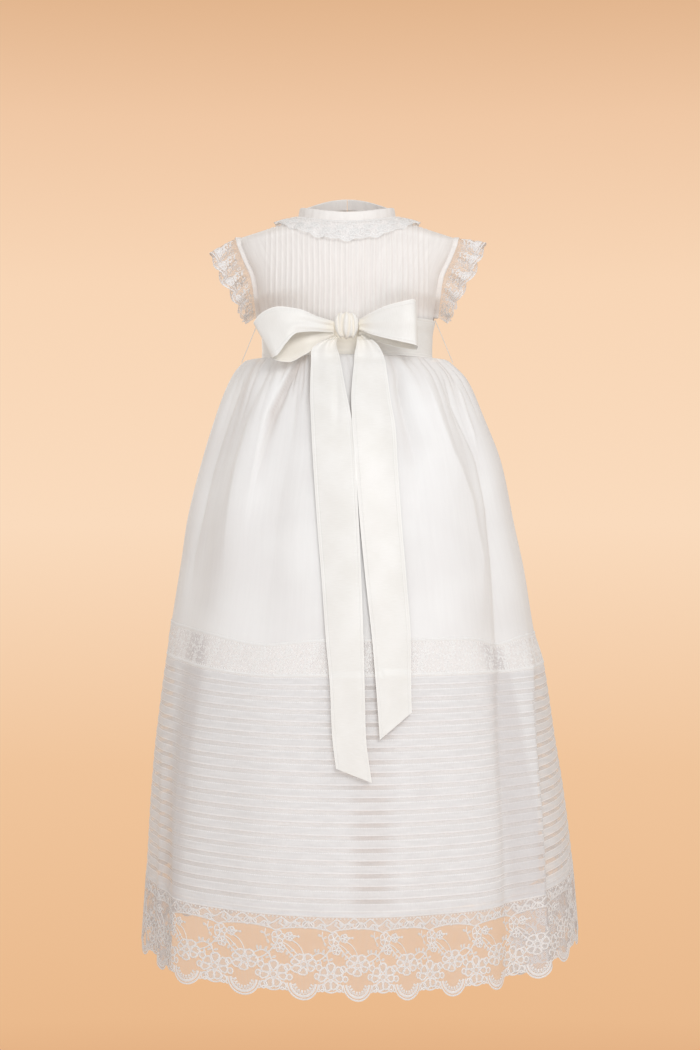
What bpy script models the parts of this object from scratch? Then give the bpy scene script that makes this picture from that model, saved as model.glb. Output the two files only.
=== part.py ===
# Christening gown in its worn form: a pintucked bodice, a gathered skirt with a lace insertion, a tier of
# level tucks and a deep lace hem, over a plain lining, with a satin sash tied in a bow at the front.
# Metres, +Z up. The front faces -Y, and the wearer's left side is at +X.
# The origin is the middle of the neck opening at shoulder height, where the wearer holds the gown.

import math

import bmesh
import bpy
import numpy as np

# ---------------------------------------------------------------- sizes

SEAM_GAP = 0.0003           # daylight between neighbouring pieces
CLOTH = 0.0014              # wall of the plain cloth
LACE = 0.0011               # wall of the lace
RIBBON = 0.0011             # wall of the satin ribbon

FRONT_STEPS = 30            # facets round the front half of the skirt
BACK_STEPS = 22             # facets round the back half

# skirt: level of each seam, measured at the front
WAIST_LEVEL = -0.1462
INSERTION_TOP = -0.4305
INSERTION_BOTTOM = -0.4673
TIER_BOTTOM = -0.6905
HEM_LEVEL = -0.7684

TUCK_COUNT = 19             # level tucks in the tier
TUCK_PROUD = 0.0012         # how far a tuck's fold stands off the tier
FRONT_GATHERS = 15          # gathers along the front of the waist seam
BACK_GATHERS = 11
GATHER_DEPTH = 0.0021
GATHER_TOP = -0.1485        # the gathers are deepest here and run out at GATHER_END
GATHER_END = -0.2350
FRONT_SCALLOPS = 14         # scallops along the front of the hem
BACK_SCALLOPS = 12
SCALLOP_DEPTH = 0.0085
SCALLOP_STEPS = 4

# bodice
PINTUCK_COUNT = 42          # upright tucks across the bodice front
PINTUCK_PROUD = 0.0009
BODICE_WALL = 0.0014
BODICE_BOTTOM = -0.1480

# neck
NECK_HALF_WIDTH = 0.0520
NECK_FRONT = 0.0420
NECK_BACK = 0.0400
NECK_FRONT_LEVEL = -0.0070
NECK_SIDE_LEVEL = 0.0020
NECK_BACK_LEVEL = 0.0180
NECKBAND_HEIGHT = 0.0115
NECKBAND_LEAN = 0.0020
NECK_OPENING = 3.0          # degrees each side of the centre back that the neckband stops short
COLLAR_WIDTH = 0.0240
COLLAR_FALL_FRONT = -0.0185  # how far the lace falls from the neckband to its edge
COLLAR_FALL_SIDE = -0.0062
COLLAR_FALL_BACK = -0.0235
COLLAR_WAVES = 16
COLLAR_WAVE = 0.0019

SHOULDER_TIP = (0.1150, 0.0, -0.0175)

# armholes and their lace
BINDING_STANDS_OFF = 0.0008 # clear of the bodice's edge, out along the arm
BINDING_WIDTH = 0.0035
BINDING_WALL = 0.0015
SLEEVE_WAVES = 11
SLEEVE_WAVE = 0.0040
# side: width of the lace at the shoulder, how steeply it falls there and under the arm
SLEEVE_COLUMNS = ("width", "droop", "droop_under")
SLEEVES = {
    "right": (0.0285, 0.93, -0.05),
    "left": (0.0262, 0.46, -0.05),
}

# sash and bow
SASH_BOTTOM = -0.1455
SASH_TOP = -0.1060
SASH_CLEARANCE = 0.0005
SASH_PINCH = 0.0075         # how far each edge closes in behind the knot
KNOT_CENTRE = (-0.0036, -0.0771, -0.1172)
KNOT_HALF_SIZE = (0.0118, 0.0074, 0.0134)
KNOT_CREASE = 0.30           # an upright crease in the knot, as a share of its half depth
THREAD_RADIUS = 0.0004

BUTTON_RADIUS = 0.0045
BUTTON_THICKNESS = 0.0020
BUTTON_RISES = (2.45, 3.35, 4.25)
BUTTON_INSET = 7.0          # degrees from the centre-back edge

# A row for each level section of the skirt: half width, depth in front and behind,
# sideways lean of the section, and how much higher the hang is at the right and the left side.
SKIRT_COLUMNS = ("level", "half_width", "front", "back", "lean", "lift_right", "lift_left")
SKIRT_SECTIONS = (
    (-0.1462, 0.08895, 0.06545, 0.06345, -0.0030, 0.0000, 0.0000),
    (-0.1470, 0.1060, 0.0800, 0.0790, -0.0030, 0.0000, 0.0000),
    (-0.1505, 0.1120, 0.0865, 0.0860, -0.0030, 0.0000, 0.0000),
    (-0.1685, 0.1265, 0.1005, 0.1000, -0.0010, 0.0000, 0.0000),
    (-0.2067, 0.1415, 0.1210, 0.1210, 0.0000, 0.0000, 0.0000),
    (-0.2565, 0.1585, 0.1410, 0.1410, 0.0020, 0.0010, 0.0000),
    (-0.3140, 0.1715, 0.1590, 0.1570, 0.0010, 0.0030, 0.0000),
    (-0.3700, 0.1815, 0.1740, 0.1710, 0.0030, 0.0070, 0.0000),
    (-0.4305, 0.1910, 0.1880, 0.1840, 0.0035, 0.0120, -0.0010),
    (-0.4673, 0.1985, 0.1955, 0.1910, 0.0060, 0.0120, 0.0020),
    (-0.5400, 0.2085, 0.2080, 0.2030, 0.0060, 0.0105, 0.0085),
    (-0.6100, 0.2170, 0.2190, 0.2130, 0.0080, 0.0100, 0.0140),
    (-0.6905, 0.2240, 0.2300, 0.2230, 0.0103, 0.0110, 0.0200),
    (-0.7684, 0.2300, 0.2385, 0.2310, 0.0110, 0.0140, 0.0210),
)
SKIRT_ROWS = (-0.1462, -0.1470, -0.1505, -0.1685, -0.2067, -0.2565, -0.3140, -0.3700, -0.4305)

# A row for each soft fold that runs down the skirt: where it starts and ends round the body (degrees, 0 in
# front, + towards +X), how far it stands out (+) or in (-) near the waist, halfway and at the hem, and its
# half breadth in degrees.
FOLD_LEVELS = (-0.1500, -0.2000, -0.4300, -0.7684)
FOLD_COLUMNS = ("azimuth_waist", "azimuth_hem", "seam", "waist", "middle", "hem", "breadth")
SKIRT_FOLDS = (
    (-30.0, -38.0, -0.0015, -0.0050, -0.0005, -0.0010, 5.0),
    (-43.0, -49.0, 0.0000, 0.0030, 0.0020, 0.0040, 7.0),
    (-60.0, -57.0, -0.0010, -0.0045, -0.0025, -0.0070, 6.0),
    (-76.0, -69.0, 0.0000, 0.0025, 0.0025, 0.0050, 7.0),
    (22.0, 20.0, -0.0010, -0.0040, -0.0010, -0.0030, 6.0),
    (38.0, 33.0, 0.0000, 0.0040, 0.0025, 0.0045, 7.0),
    (54.0, 42.0, -0.0010, -0.0045, -0.0025, -0.0060, 6.0),
    (71.0, 60.0, 0.0000, 0.0025, 0.0025, 0.0050, 8.0),
    (99.0, 97.0, -0.0010, -0.0040, -0.0025, -0.0060, 7.0),
    (118.0, 116.0, 0.0000, 0.0040, 0.0025, 0.0050, 8.0),
    (137.0, 138.0, -0.0010, -0.0045, -0.0020, -0.0060, 7.0),
    (157.0, 158.0, 0.0000, 0.0030, 0.0025, 0.0045, 8.0),
    (178.0, 177.0, -0.0010, -0.0045, -0.0020, -0.0050, 7.0),
    (-160.0, -161.0, 0.0000, 0.0040, 0.0025, 0.0050, 8.0),
    (-139.0, -140.0, -0.0010, -0.0040, -0.0025, -0.0060, 7.0),
    (-119.0, -120.0, 0.0000, 0.0030, 0.0025, 0.0050, 8.0),
    (-99.0, -96.0, -0.0010, -0.0040, -0.0020, -0.0050, 7.0),
)

# Where the insertion dips between two folds: its middle, how deep it hangs there, its half breadth in
# degrees, and how far up and down the skirt it is felt.
SAG_COLUMNS = ("azimuth", "level", "drop", "breadth", "reach")
SKIRT_SAGS = (
    (-28.0, -0.4305, 0.0065, 9.0, 0.025),
    (50.0, -0.4305, 0.0080, 6.0, 0.020),
)

# The slip under the skirt, section by section.
LINING_COLUMNS = ("level", "half_width", "front", "back", "lean")
LINING_SECTIONS = (
    (-0.1484, 0.0879, 0.0644, 0.0624, -0.0030),
    (-0.1600, 0.0960, 0.0725, 0.0710, -0.0030),
    (-0.1900, 0.1150, 0.0955, 0.0945, -0.0010),
    (-0.2400, 0.1400, 0.1200, 0.1200, 0.0010),
    (-0.3140, 0.1620, 0.1480, 0.1460, 0.0010),
    (-0.4300, 0.1855, 0.1805, 0.1765, 0.0030),
    (-0.5200, 0.1930, 0.1890, 0.1840, 0.0050),
    (-0.7060, 0.1950, 0.1960, 0.1900, 0.0060),
)
LINING_ROWS = (-0.1484, -0.1600, -0.1900, -0.2400, -0.3140, -0.4300, -0.5200, -0.7060)
CENTRE_BACK = 180.0
# name: azimuths of both side edges, and facets between them
LINING_PIECES = (
    ("lining_front", -90.0, 90.0, 22),
    ("lining_back_left", 90.0, CENTRE_BACK, 8),
    ("lining_back_right", CENTRE_BACK, 270.0, 8),
)

# Bodice panels from the waist up: where the middle and the side edge of each section lie. The side edge is the
# side seam up to the underarm, at row 2, and the armhole from there to the shoulder tip, above row 6.
BODICE_COLUMNS = ("side_x", "side_y", "side_z", "middle_y", "middle_z")
BODICE_FRONT = (
    (0.0885, 0.0000, -0.1480, -0.0650, -0.1480),
    (0.0888, 0.0000, -0.1240, -0.0662, -0.1230),
    (0.0925, 0.0000, -0.1010, -0.0685, -0.0980),
    (0.0940, -0.0250, -0.0810, -0.0690, -0.0730),
    (0.0970, -0.0300, -0.0620, -0.0655, -0.0480),
    (0.1055, -0.0260, -0.0430, -0.0575, -0.0270),
    (0.1120, -0.0150, -0.0270, -0.0490, -0.0150),
)
BODICE_BACK = (
    (0.0885, 0.0000, -0.1480, 0.0630, -0.1480),
    (0.0888, 0.0000, -0.1240, 0.0640, -0.1220),
    (0.0925, 0.0000, -0.1010, 0.0655, -0.0940),
    (0.0940, 0.0240, -0.0810, 0.0660, -0.0660),
    (0.0970, 0.0290, -0.0620, 0.0635, -0.0380),
    (0.1055, 0.0250, -0.0430, 0.0570, -0.0120),
    (0.1120, 0.0145, -0.0270, 0.0485, 0.0060),
)
UNDERARM_ROW = 2
TOP_ROW = 7
LEAN_AT_BODICE = -0.0030
HOLLOW_MIDDLE = (0.60, -0.0600)     # the wall thickens towards this share of x and up from this level

# Both loops of the bow, along the ribbon from the front of the knot round to the back of it:
# the upper and the lower edge of the ribbon.
LOOP_COLUMNS = ("upper_x", "upper_y", "upper_z", "lower_x", "lower_y", "lower_z")
RIGHT_LOOP = (
    (-0.0166, -0.0770, -0.1128, -0.0166, -0.0775, -0.1240),
    (-0.0320, -0.0835, -0.1090, -0.0330, -0.0860, -0.1242),
    (-0.0520, -0.0880, -0.1015, -0.0530, -0.0940, -0.1262),
    (-0.0720, -0.0885, -0.0990, -0.0640, -0.0985, -0.1365),
    (-0.0890, -0.0850, -0.1045, -0.0735, -0.0985, -0.1490),
    (-0.0985, -0.0790, -0.1150, -0.0790, -0.0935, -0.1520),
    (-0.0900, -0.0740, -0.1180, -0.0745, -0.0890, -0.1540),
    (-0.0690, -0.0745, -0.1150, -0.0620, -0.0890, -0.1555),
    (-0.0480, -0.0750, -0.1135, -0.0460, -0.0880, -0.1480),
    (-0.0310, -0.0745, -0.1150, -0.0300, -0.0810, -0.1370),
    (-0.0166, -0.0738, -0.1180, -0.0166, -0.0742, -0.1278),
)
LEFT_LOOP = (
    (0.0094, -0.0770, -0.1110, 0.0094, -0.0775, -0.1215),
    (0.0240, -0.0840, -0.1035, 0.0230, -0.0860, -0.1275),
    (0.0390, -0.0885, -0.0975, 0.0380, -0.0920, -0.1320),
    (0.0530, -0.0895, -0.0940, 0.0530, -0.0945, -0.1355),
    (0.0640, -0.0870, -0.0915, 0.0660, -0.0935, -0.1385),
    (0.0672, -0.0820, -0.0925, 0.0690, -0.0880, -0.1400),
    (0.0640, -0.0775, -0.0960, 0.0670, -0.0830, -0.1430),
    (0.0500, -0.0760, -0.1000, 0.0530, -0.0820, -0.1410),
    (0.0350, -0.0755, -0.1050, 0.0370, -0.0800, -0.1370),
    (0.0220, -0.0748, -0.1100, 0.0230, -0.0770, -0.1320),
    (0.0094, -0.0738, -0.1150, 0.0094, -0.0742, -0.1260),
)
LOOP_ACROSS = 4             # facets across the ribbon in a loop

# The tails from the knot down to their slanted ends: both edges of the ribbon, how far its back lies in front
# of the skirt, or, above the waist seam, its own depth.
TAIL_COLUMNS = ("right_z", "left_z", "right_x", "left_x", "depth", "lift")
RIGHT_TAIL = (
    (-0.1300, -0.1300, -0.0260, -0.0162, -0.0692, 0.0),
    (-0.1380, -0.1380, -0.0370, -0.0160, -0.0715, 0.0),
    (-0.1430, -0.1430, -0.0375, -0.0135, -0.0780, 0.0),
    (-0.1475, -0.1475, -0.0390, -0.0115, -0.0868, 0.0),
    (-0.1560, -0.1560, -0.0395, -0.0095, 0.0, 0.0035),
    (-0.1830, -0.1830, -0.0401, -0.0060, 0.0, 0.0030),
    (-0.2210, -0.2210, -0.0386, 0.0010, 0.0, 0.0030),
    (-0.2570, -0.2570, -0.0366, 0.0038, 0.0, 0.0025),
    (-0.3150, -0.3150, -0.0325, 0.0070, 0.0, 0.0013),
    (-0.3750, -0.3750, -0.0275, 0.0105, 0.0, 0.0011),
    (-0.4330, -0.4330, -0.0231, 0.0130, 0.0, 0.0025),
    (-0.4750, -0.4750, -0.0192, 0.0140, 0.0, 0.0030),
    (-0.5200, -0.5200, -0.0172, 0.0150, 0.0, 0.0035),
    (-0.5530, -0.5660, -0.0133, 0.0206, 0.0, 0.0040),
)
LEFT_TAIL = (
    (-0.1300, -0.1300, 0.0092, 0.0190, -0.0692, 0.0),
    (-0.1380, -0.1380, 0.0068, 0.0270, -0.0715, 0.0),
    (-0.1430, -0.1430, 0.0055, 0.0300, -0.0790, 0.0),
    (-0.1475, -0.1475, 0.0046, 0.0330, -0.0868, 0.0),
    (-0.1560, -0.1560, 0.0042, 0.0357, 0.0, 0.0035),
    (-0.1930, -0.1930, 0.0040, 0.0405, 0.0, 0.0030),
    (-0.2260, -0.2260, 0.0055, 0.0456, 0.0, 0.0030),
    (-0.2570, -0.2570, 0.0080, 0.0470, 0.0, 0.0025),
    (-0.3150, -0.3150, 0.0130, 0.0505, 0.0, 0.0025),
    (-0.3750, -0.3750, 0.0180, 0.0550, 0.0, 0.0025),
    (-0.4330, -0.4330, 0.0222, 0.0588, 0.0, 0.0025),
    (-0.4750, -0.4750, 0.0249, 0.0588, 0.0, 0.0030),
    (-0.5260, -0.5010, 0.0285, 0.0592, 0.0, 0.0040),
)
TAIL_ACROSS = 3

# A thread each side holds the sash: from the side seam above it to the skirt below it.
THREAD_TOP = (0.0930, -0.0020, -0.1037)
THREAD_BEND = (0.0985, -0.0020, -0.1165)
THREAD_FOOT_AZIMUTH = 88.0
THREAD_FOOT_LEVEL = -0.1500
THREAD_POINTS = 7

# name: colour, roughness
FINISHES = {
    "organza": ((0.88, 0.87, 0.84), 0.60),
    "lace": ((0.90, 0.89, 0.86), 0.65),
    "satin": ((0.90, 0.88, 0.83), 0.32),
    "lining": ((0.84, 0.83, 0.81), 0.75),
    "thread": ((0.78, 0.77, 0.74), 0.55),
    "button": ((0.88, 0.86, 0.80), 0.28),
}


# ---------------------------------------------------------------- smooth tables

class Sections:
    """A table with named columns, read between its rows along a smooth curve with no overshoot."""

    def __init__(self, columns, rows, key=None):
        table = np.array(rows, dtype=float)
        keys = np.array(key, dtype=float) if key is not None else table[:, 0]
        order = np.argsort(keys)
        self.keys = keys[order]
        self.values = {name: table[order, i] for i, name in enumerate(columns)}
        self.slopes = {name: self._slopes(column) for name, column in self.values.items()}

    def _slopes(self, column):
        secants = np.diff(column) / np.diff(self.keys)
        slopes = np.zeros(len(column))
        slopes[0] = secants[0]
        slopes[-1] = secants[-1]
        for i in range(1, len(column) - 1):
            before, after = secants[i - 1], secants[i]
            if before * after > 0.0:
                slopes[i] = 2.0 * before * after / (before + after)
        return slopes

    def at(self, name, key):
        keys = self.keys
        key = min(max(key, keys[0]), keys[-1])
        i = min(int(np.searchsorted(keys, key, side="right")) - 1, len(keys) - 2)
        span = keys[i + 1] - keys[i]
        t = (key - keys[i]) / span
        values = self.values[name]
        slopes = self.slopes[name]
        return ((1.0 + 2.0 * t) * (1.0 - t) ** 2 * values[i] + t * (1.0 - t) ** 2 * span * slopes[i]
                + t * t * (3.0 - 2.0 * t) * values[i + 1] + t * t * (t - 1.0) * span * slopes[i + 1])


def indexed(columns, rows):
    return Sections(columns, rows, key=range(len(rows)))


SKIRT = Sections(SKIRT_COLUMNS, SKIRT_SECTIONS)
LINING = Sections(LINING_COLUMNS, LINING_SECTIONS)
FRONT_PANEL = indexed(BODICE_COLUMNS, BODICE_FRONT)
BACK_PANEL = indexed(BODICE_COLUMNS, BODICE_BACK)


def unit(vector):
    return vector / np.linalg.norm(vector)


def blend(low, high, share):
    return low + (high - low) * share


# ---------------------------------------------------------------- building

def start_scene():
    for thing in list(bpy.data.objects):
        bpy.data.objects.remove(thing, do_unlink=True)
    gown = bpy.data.collections.new("christening_gown")
    bpy.context.scene.collection.children.link(gown)
    return gown


def make_finishes():
    finishes = {}
    for name, (colour, roughness) in FINISHES.items():
        material = bpy.data.materials.new(name)
        material.use_nodes = True
        shader = material.node_tree.nodes["Principled BSDF"]
        shader.inputs["Base Color"].default_value = (*colour, 1.0)
        shader.inputs["Roughness"].default_value = roughness
        shader.inputs["Metallic"].default_value = 0.0
        finishes[name] = material
    return finishes


def add_mesh(name, shape, finish, smooth_angle=40.0):
    """Turns a bmesh into a named piece of the gown."""
    mesh = bpy.data.meshes.new(name)
    shape.to_mesh(mesh)
    shape.free()
    mesh.materials.append(finish)
    mesh.shade_smooth()
    mesh.set_sharp_from_angle(angle=math.radians(smooth_angle))
    piece = bpy.data.objects.new(name, mesh)
    GOWN.objects.link(piece)
    return piece


def zip_edges(shape, first, second):
    """Joins two rows of corners that run the same way, also where one has more corners."""
    i = j = 0
    last_first = len(first) - 1
    last_second = len(second) - 1
    while i < last_first or j < last_second:
        next_first = (i + 1) / last_first if i < last_first else 2.0
        next_second = (j + 1) / last_second if j < last_second else 2.0
        if abs(next_first - next_second) < 1e-9:
            shape.faces.new((first[i], first[i + 1], second[j + 1], second[j]))
            i += 1
            j += 1
        elif next_first < next_second:
            shape.faces.new((first[i], first[i + 1], second[j]))
            i += 1
        else:
            shape.faces.new((first[i], second[j + 1], second[j]))
            j += 1


def add_wall(name, outer, inner, finish, closed=False):
    """A cloth wall between an outer and an inner skin, each a grid of points in rows. The skins may differ in
    their number of rows and columns. A closed wall runs all the way round."""
    shape = bmesh.new()
    rims = []
    for grid in (outer, inner):
        rows = [[shape.verts.new(point) for point in row] for row in grid]
        if closed:
            rows = [row + [row[0]] for row in rows]
        for low, high in zip(rows, rows[1:]):
            for a, b, c, d in zip(low, low[1:], high[1:], high):
                shape.faces.new((a, b, c, d))
        rims.append(rows)
    outer_rows, inner_rows = rims
    zip_edges(shape, outer_rows[0], inner_rows[0])
    zip_edges(shape, outer_rows[-1], inner_rows[-1])
    if not closed:
        zip_edges(shape, [row[0] for row in outer_rows], [row[0] for row in inner_rows])
        zip_edges(shape, [row[-1] for row in outer_rows], [row[-1] for row in inner_rows])
    bmesh.ops.recalc_face_normals(shape, faces=shape.faces)
    return add_mesh(name, shape, finish)


def add_shell(name, grid, thickness, finish):
    """A sheet of ribbon: an open grid of points, thickened towards the side it faces."""
    shape = bmesh.new()
    rows = [[shape.verts.new(point) for point in row] for row in grid]
    for low, high in zip(rows, rows[1:]):
        for a, b, c, d in zip(low, low[1:], high[1:], high):
            shape.faces.new((a, b, c, d))
    piece = add_mesh(name, shape, finish)
    solidify = piece.modifiers.new("thickness", "SOLIDIFY")
    solidify.thickness = thickness
    solidify.offset = 1.0
    return piece


# ---------------------------------------------------------------- skirt

def angle_between(a, b):
    """The turn from b to a in degrees, from -180 to 180."""
    return (a - b + 180.0) % 360.0 - 180.0


def gather_outset(azimuth, level):
    """Gathers under the waist seam, which run out down the skirt."""
    if level > GATHER_TOP:
        strength = (level - WAIST_LEVEL) / (GATHER_TOP - WAIST_LEVEL)
    else:
        strength = max(0.0, (level - GATHER_END) / (GATHER_TOP - GATHER_END)) ** 1.5
    count = FRONT_GATHERS if abs(azimuth) <= 90.0 else BACK_GATHERS
    turn = math.radians(azimuth + 90.0)
    return GATHER_DEPTH * min(1.0, strength) * math.cos(2.0 * count * turn)


def fold_outset(azimuth, level):
    """All soft folds of the skirt together at one place."""
    total = gather_outset(azimuth, level)
    fall = min(1.0, max(0.0, (FOLD_LEVELS[0] - level) / (FOLD_LEVELS[0] - FOLD_LEVELS[-1])))
    settle = min(1.0, max(0.0, (WAIST_LEVEL - level) / (WAIST_LEVEL - FOLD_LEVELS[0])))
    for row in SKIRT_FOLDS:
        fold = dict(zip(FOLD_COLUMNS, row))
        centre = blend(fold["azimuth_waist"], fold["azimuth_hem"], fall)
        depths = (fold["hem"], fold["middle"], fold["waist"], fold["seam"])
        depth = np.interp(level, FOLD_LEVELS[::-1], depths) * settle
        away = angle_between(azimuth, centre) / fold["breadth"]
        total += depth * math.exp(-0.5 * away * away)
    return total


def hang(azimuth, level):
    """How much higher than its level the cloth hangs at one place."""
    side = math.sin(math.radians(azimuth))
    rise = SKIRT.at("lift_left" if side > 0.0 else "lift_right", level) * side ** 4
    for row in SKIRT_SAGS:
        sag = dict(zip(SAG_COLUMNS, row))
        around = angle_between(azimuth, sag["azimuth"]) / sag["breadth"]
        along = (level - sag["level"]) / sag["reach"]
        rise -= sag["drop"] * math.exp(-0.5 * (around * around + along * along))
    return rise


def skirt_point(azimuth, level, outset=0.0):
    """A point of the skirt's outer face. The azimuth is in degrees, 0 in front and + towards +X."""
    turn = math.radians(azimuth)
    side = math.sin(turn)
    ahead = math.cos(turn)
    depth = SKIRT.at("front" if ahead > 0.0 else "back", level)
    out = fold_outset(azimuth, level) + outset
    x = SKIRT.at("lean", level) + (SKIRT.at("half_width", level) + out) * side
    y = -(depth + out) * ahead
    return np.array((x, y, level + hang(azimuth, level)))


def lining_point(azimuth, level):
    turn = math.radians(azimuth)
    side = math.sin(turn)
    ahead = math.cos(turn)
    depth = LINING.at("front" if ahead > 0.0 else "back", level)
    return np.array((LINING.at("lean", level) + LINING.at("half_width", level) * side, -depth * ahead, level))


def under_face(point_at, azimuth, level, thickness):
    """The point straight under the outer face, through the wall."""
    turn = 0.05
    rise = 0.0002
    around = point_at(azimuth + turn, level) - point_at(azimuth - turn, level)
    up = point_at(azimuth, level + rise) - point_at(azimuth, level - rise)
    return point_at(azimuth, level) - unit(np.cross(around, up)) * thickness


def half_azimuths(back, steps):
    """Evenly spaced azimuths over the front or the back half, from one side seam to the other."""
    start = 90.0 if back else -90.0
    return np.linspace(start, start + 180.0, steps + 1)


def part_at_side_seams(grid, back):
    """Opens half a gap at both side seams."""
    for row in grid:
        for point in (row[0], row[-1]):
            point[1] = SEAM_GAP / 2.0 if back else -SEAM_GAP / 2.0
    return grid


HALVES = (("front", False, FRONT_STEPS, FRONT_SCALLOPS), ("back", True, BACK_STEPS, BACK_SCALLOPS))


def make_skirt(finish):
    rows = list(SKIRT_ROWS)
    rows[-1] += SEAM_GAP / 2.0
    for half, back, steps, _ in HALVES:
        azimuths = half_azimuths(back, steps)
        outer = [[skirt_point(a, level) for a in azimuths] for level in rows]
        inner = [[under_face(skirt_point, a, level, CLOTH) for a in azimuths] for level in rows[:-1]]
        inner.append([skirt_point(a, rows[-1], -CLOTH) for a in azimuths])
        part_at_side_seams(outer, back)
        part_at_side_seams(inner, back)
        add_wall("skirt_" + half, outer, inner, finish)


def add_level_wall(name, back, steps, outer_rows, inner_levels, thickness, finish):
    """Half of a skirt tier whose thickness lies level. Each outer row is a level with its outset."""
    azimuths = half_azimuths(back, steps)
    outer = [[skirt_point(a, level, outset) for a in azimuths] for level, outset in outer_rows]
    inner = [[skirt_point(a, level, -thickness) for a in azimuths] for level in inner_levels]
    part_at_side_seams(outer, back)
    part_at_side_seams(inner, back)
    add_wall(name, outer, inner, finish)


def make_insertion(finish):
    top = INSERTION_TOP - SEAM_GAP / 2.0
    bottom = INSERTION_BOTTOM + SEAM_GAP / 2.0
    for half, back, steps, _ in HALVES:
        outer_rows = [(top, 0.0), (bottom, 0.0)]
        add_level_wall("insertion_" + half, back, steps, outer_rows, [top, bottom], LACE, finish)


def make_tucked_tier(finish):
    """Each tuck stands out to its fold, and the next one starts under it."""
    top = INSERTION_BOTTOM - SEAM_GAP / 2.0
    bottom = TIER_BOTTOM + SEAM_GAP / 2.0
    pitch = (top - bottom) / TUCK_COUNT
    fold_under = 0.0003
    outer_rows = [(top, 0.0)]
    for tuck in range(TUCK_COUNT):
        fold = top - (tuck + 0.62) * pitch
        outer_rows.append((fold, TUCK_PROUD))
        outer_rows.append((fold - fold_under, 0.0))
    outer_rows.append((bottom, 0.0))
    inner_levels = np.linspace(top, bottom, 5)
    for half, back, steps, _ in HALVES:
        add_level_wall("tucked_" + half, back, steps, outer_rows, inner_levels, CLOTH, finish)


def make_hem_lace(finish):
    top = TIER_BOTTOM - SEAM_GAP
    middle = blend(top, HEM_LEVEL, 0.6)
    for half, back, _, scallops in HALVES:
        azimuths = half_azimuths(back, scallops * SCALLOP_STEPS)
        drops = []
        for i in range(len(azimuths)):
            part = (i % SCALLOP_STEPS) / SCALLOP_STEPS
            drops.append(SCALLOP_DEPTH * (1.0 - math.sin(math.pi * part) ** 0.7))
        grids = []
        for outset in (0.0, -LACE):
            rows = [[skirt_point(a, top, outset) for a in azimuths]]
            rows.append([skirt_point(a, middle, outset) for a in azimuths])
            rows.append([skirt_point(a, HEM_LEVEL + drop, outset) for a, drop in zip(azimuths, drops)])
            grids.append(part_at_side_seams(rows, back))
        add_wall("hem_lace_" + half, grids[0], grids[1], finish)


def make_lining(finish):
    """The slip: one front, and two backs that meet in a centre-back seam."""
    for name, start, end, steps in LINING_PIECES:
        azimuths = np.linspace(start, end, steps + 1)
        outer = [[lining_point(a, level) for a in azimuths] for level in LINING_ROWS]
        inner = [[under_face(lining_point, a, level, CLOTH) for a in azimuths] for level in LINING_ROWS]
        for row in outer + inner:
            for point, azimuth, opening in ((row[0], start, -1.0), (row[-1], end, 1.0)):
                if azimuth == CENTRE_BACK:
                    point[0] += opening * SEAM_GAP / 2.0
                else:
                    point[1] = SEAM_GAP / 2.0 if start > 0.0 else -SEAM_GAP / 2.0
        add_wall(name, outer, inner, finish)


# ---------------------------------------------------------------- bodice

def even_angles(count):
    """Angles from -90 to 90 degrees that divide the waist of the bodice into even lengths of cloth."""
    fine = np.radians(np.linspace(-90.0, 90.0, 361))
    half_width, _, _, middle_y, _ = BODICE_FRONT[0]
    steps = np.hypot(np.diff(half_width * np.sin(fine)), np.diff(middle_y * np.cos(fine)))
    lengths = np.concatenate(([0.0], np.cumsum(steps)))
    return np.degrees(np.interp(np.linspace(0.0, lengths[-1], count + 1), lengths, fine))


def neck_level(side, ahead):
    end = NECK_FRONT_LEVEL if ahead > 0.0 else NECK_BACK_LEVEL
    return blend(end, NECK_SIDE_LEVEL, side * side)


def top_edge(angle, back):
    """The neckline, and beyond its corner the shoulder seam."""
    tip_x, _, tip_z = SHOULDER_TIP
    x = tip_x * math.sin(math.radians(angle))
    if abs(x) < NECK_HALF_WIDTH:
        side = x / NECK_HALF_WIDTH
        ahead = math.sqrt(1.0 - side * side)
        y = NECK_BACK * ahead if back else -NECK_FRONT * ahead
        z = neck_level(side, -1.0 if back else 1.0)
        return np.array((x, y, z))
    out = (abs(x) - NECK_HALF_WIDTH) / (tip_x - NECK_HALF_WIDTH)
    return np.array((x, 0.0, blend(NECK_SIDE_LEVEL, tip_z, out)))


def bodice_point(angle, rise, back=False):
    """A point of the bodice's outer face. The angle runs from -90 at one side edge over 0 in the middle to 90,
    and the rise counts the rows of the table up from the waist."""
    panel = BACK_PANEL if back else FRONT_PANEL
    turn = math.radians(angle)
    row = min(rise, TOP_ROW - 1.0)
    side = math.sin(turn)
    ahead = math.cos(turn)
    x = panel.at("side_x", row) * side
    y = blend(panel.at("side_y", row), panel.at("middle_y", row), ahead)
    z = blend(panel.at("middle_z", row), panel.at("side_z", row), side * side)
    point = np.array((x, y, z))
    if rise > row:
        point = blend(point, top_edge(angle, back), rise - row)
    return point + np.array((LEAN_AT_BODICE, 0.0, 0.0))


def bodice_inward(point):
    """The way the bodice wall thickens at a point: towards the hollow's own middle."""
    share, level = HOLLOW_MIDDLE
    x = point[0] - LEAN_AT_BODICE
    return -unit(np.array((x * (1.0 - share), point[1], point[2] - min(point[2], level))))


def bodice_grid(angles, rises, back, depths):
    grid = []
    for rise in rises:
        row = []
        for angle, depth in zip(angles, depths):
            point = bodice_point(angle, rise, back)
            row.append(point + bodice_inward(point) * depth)
        grid.append(row)
    return grid


def part_at_shoulder(grid, back):
    """Half a seam's gap at the shoulder line, on the last row of a panel."""
    shift = SEAM_GAP / 2.0 if back else -SEAM_GAP / 2.0
    for point in grid[-1]:
        if abs(point[1]) < SEAM_GAP:
            point[1] = shift
    return grid


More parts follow.
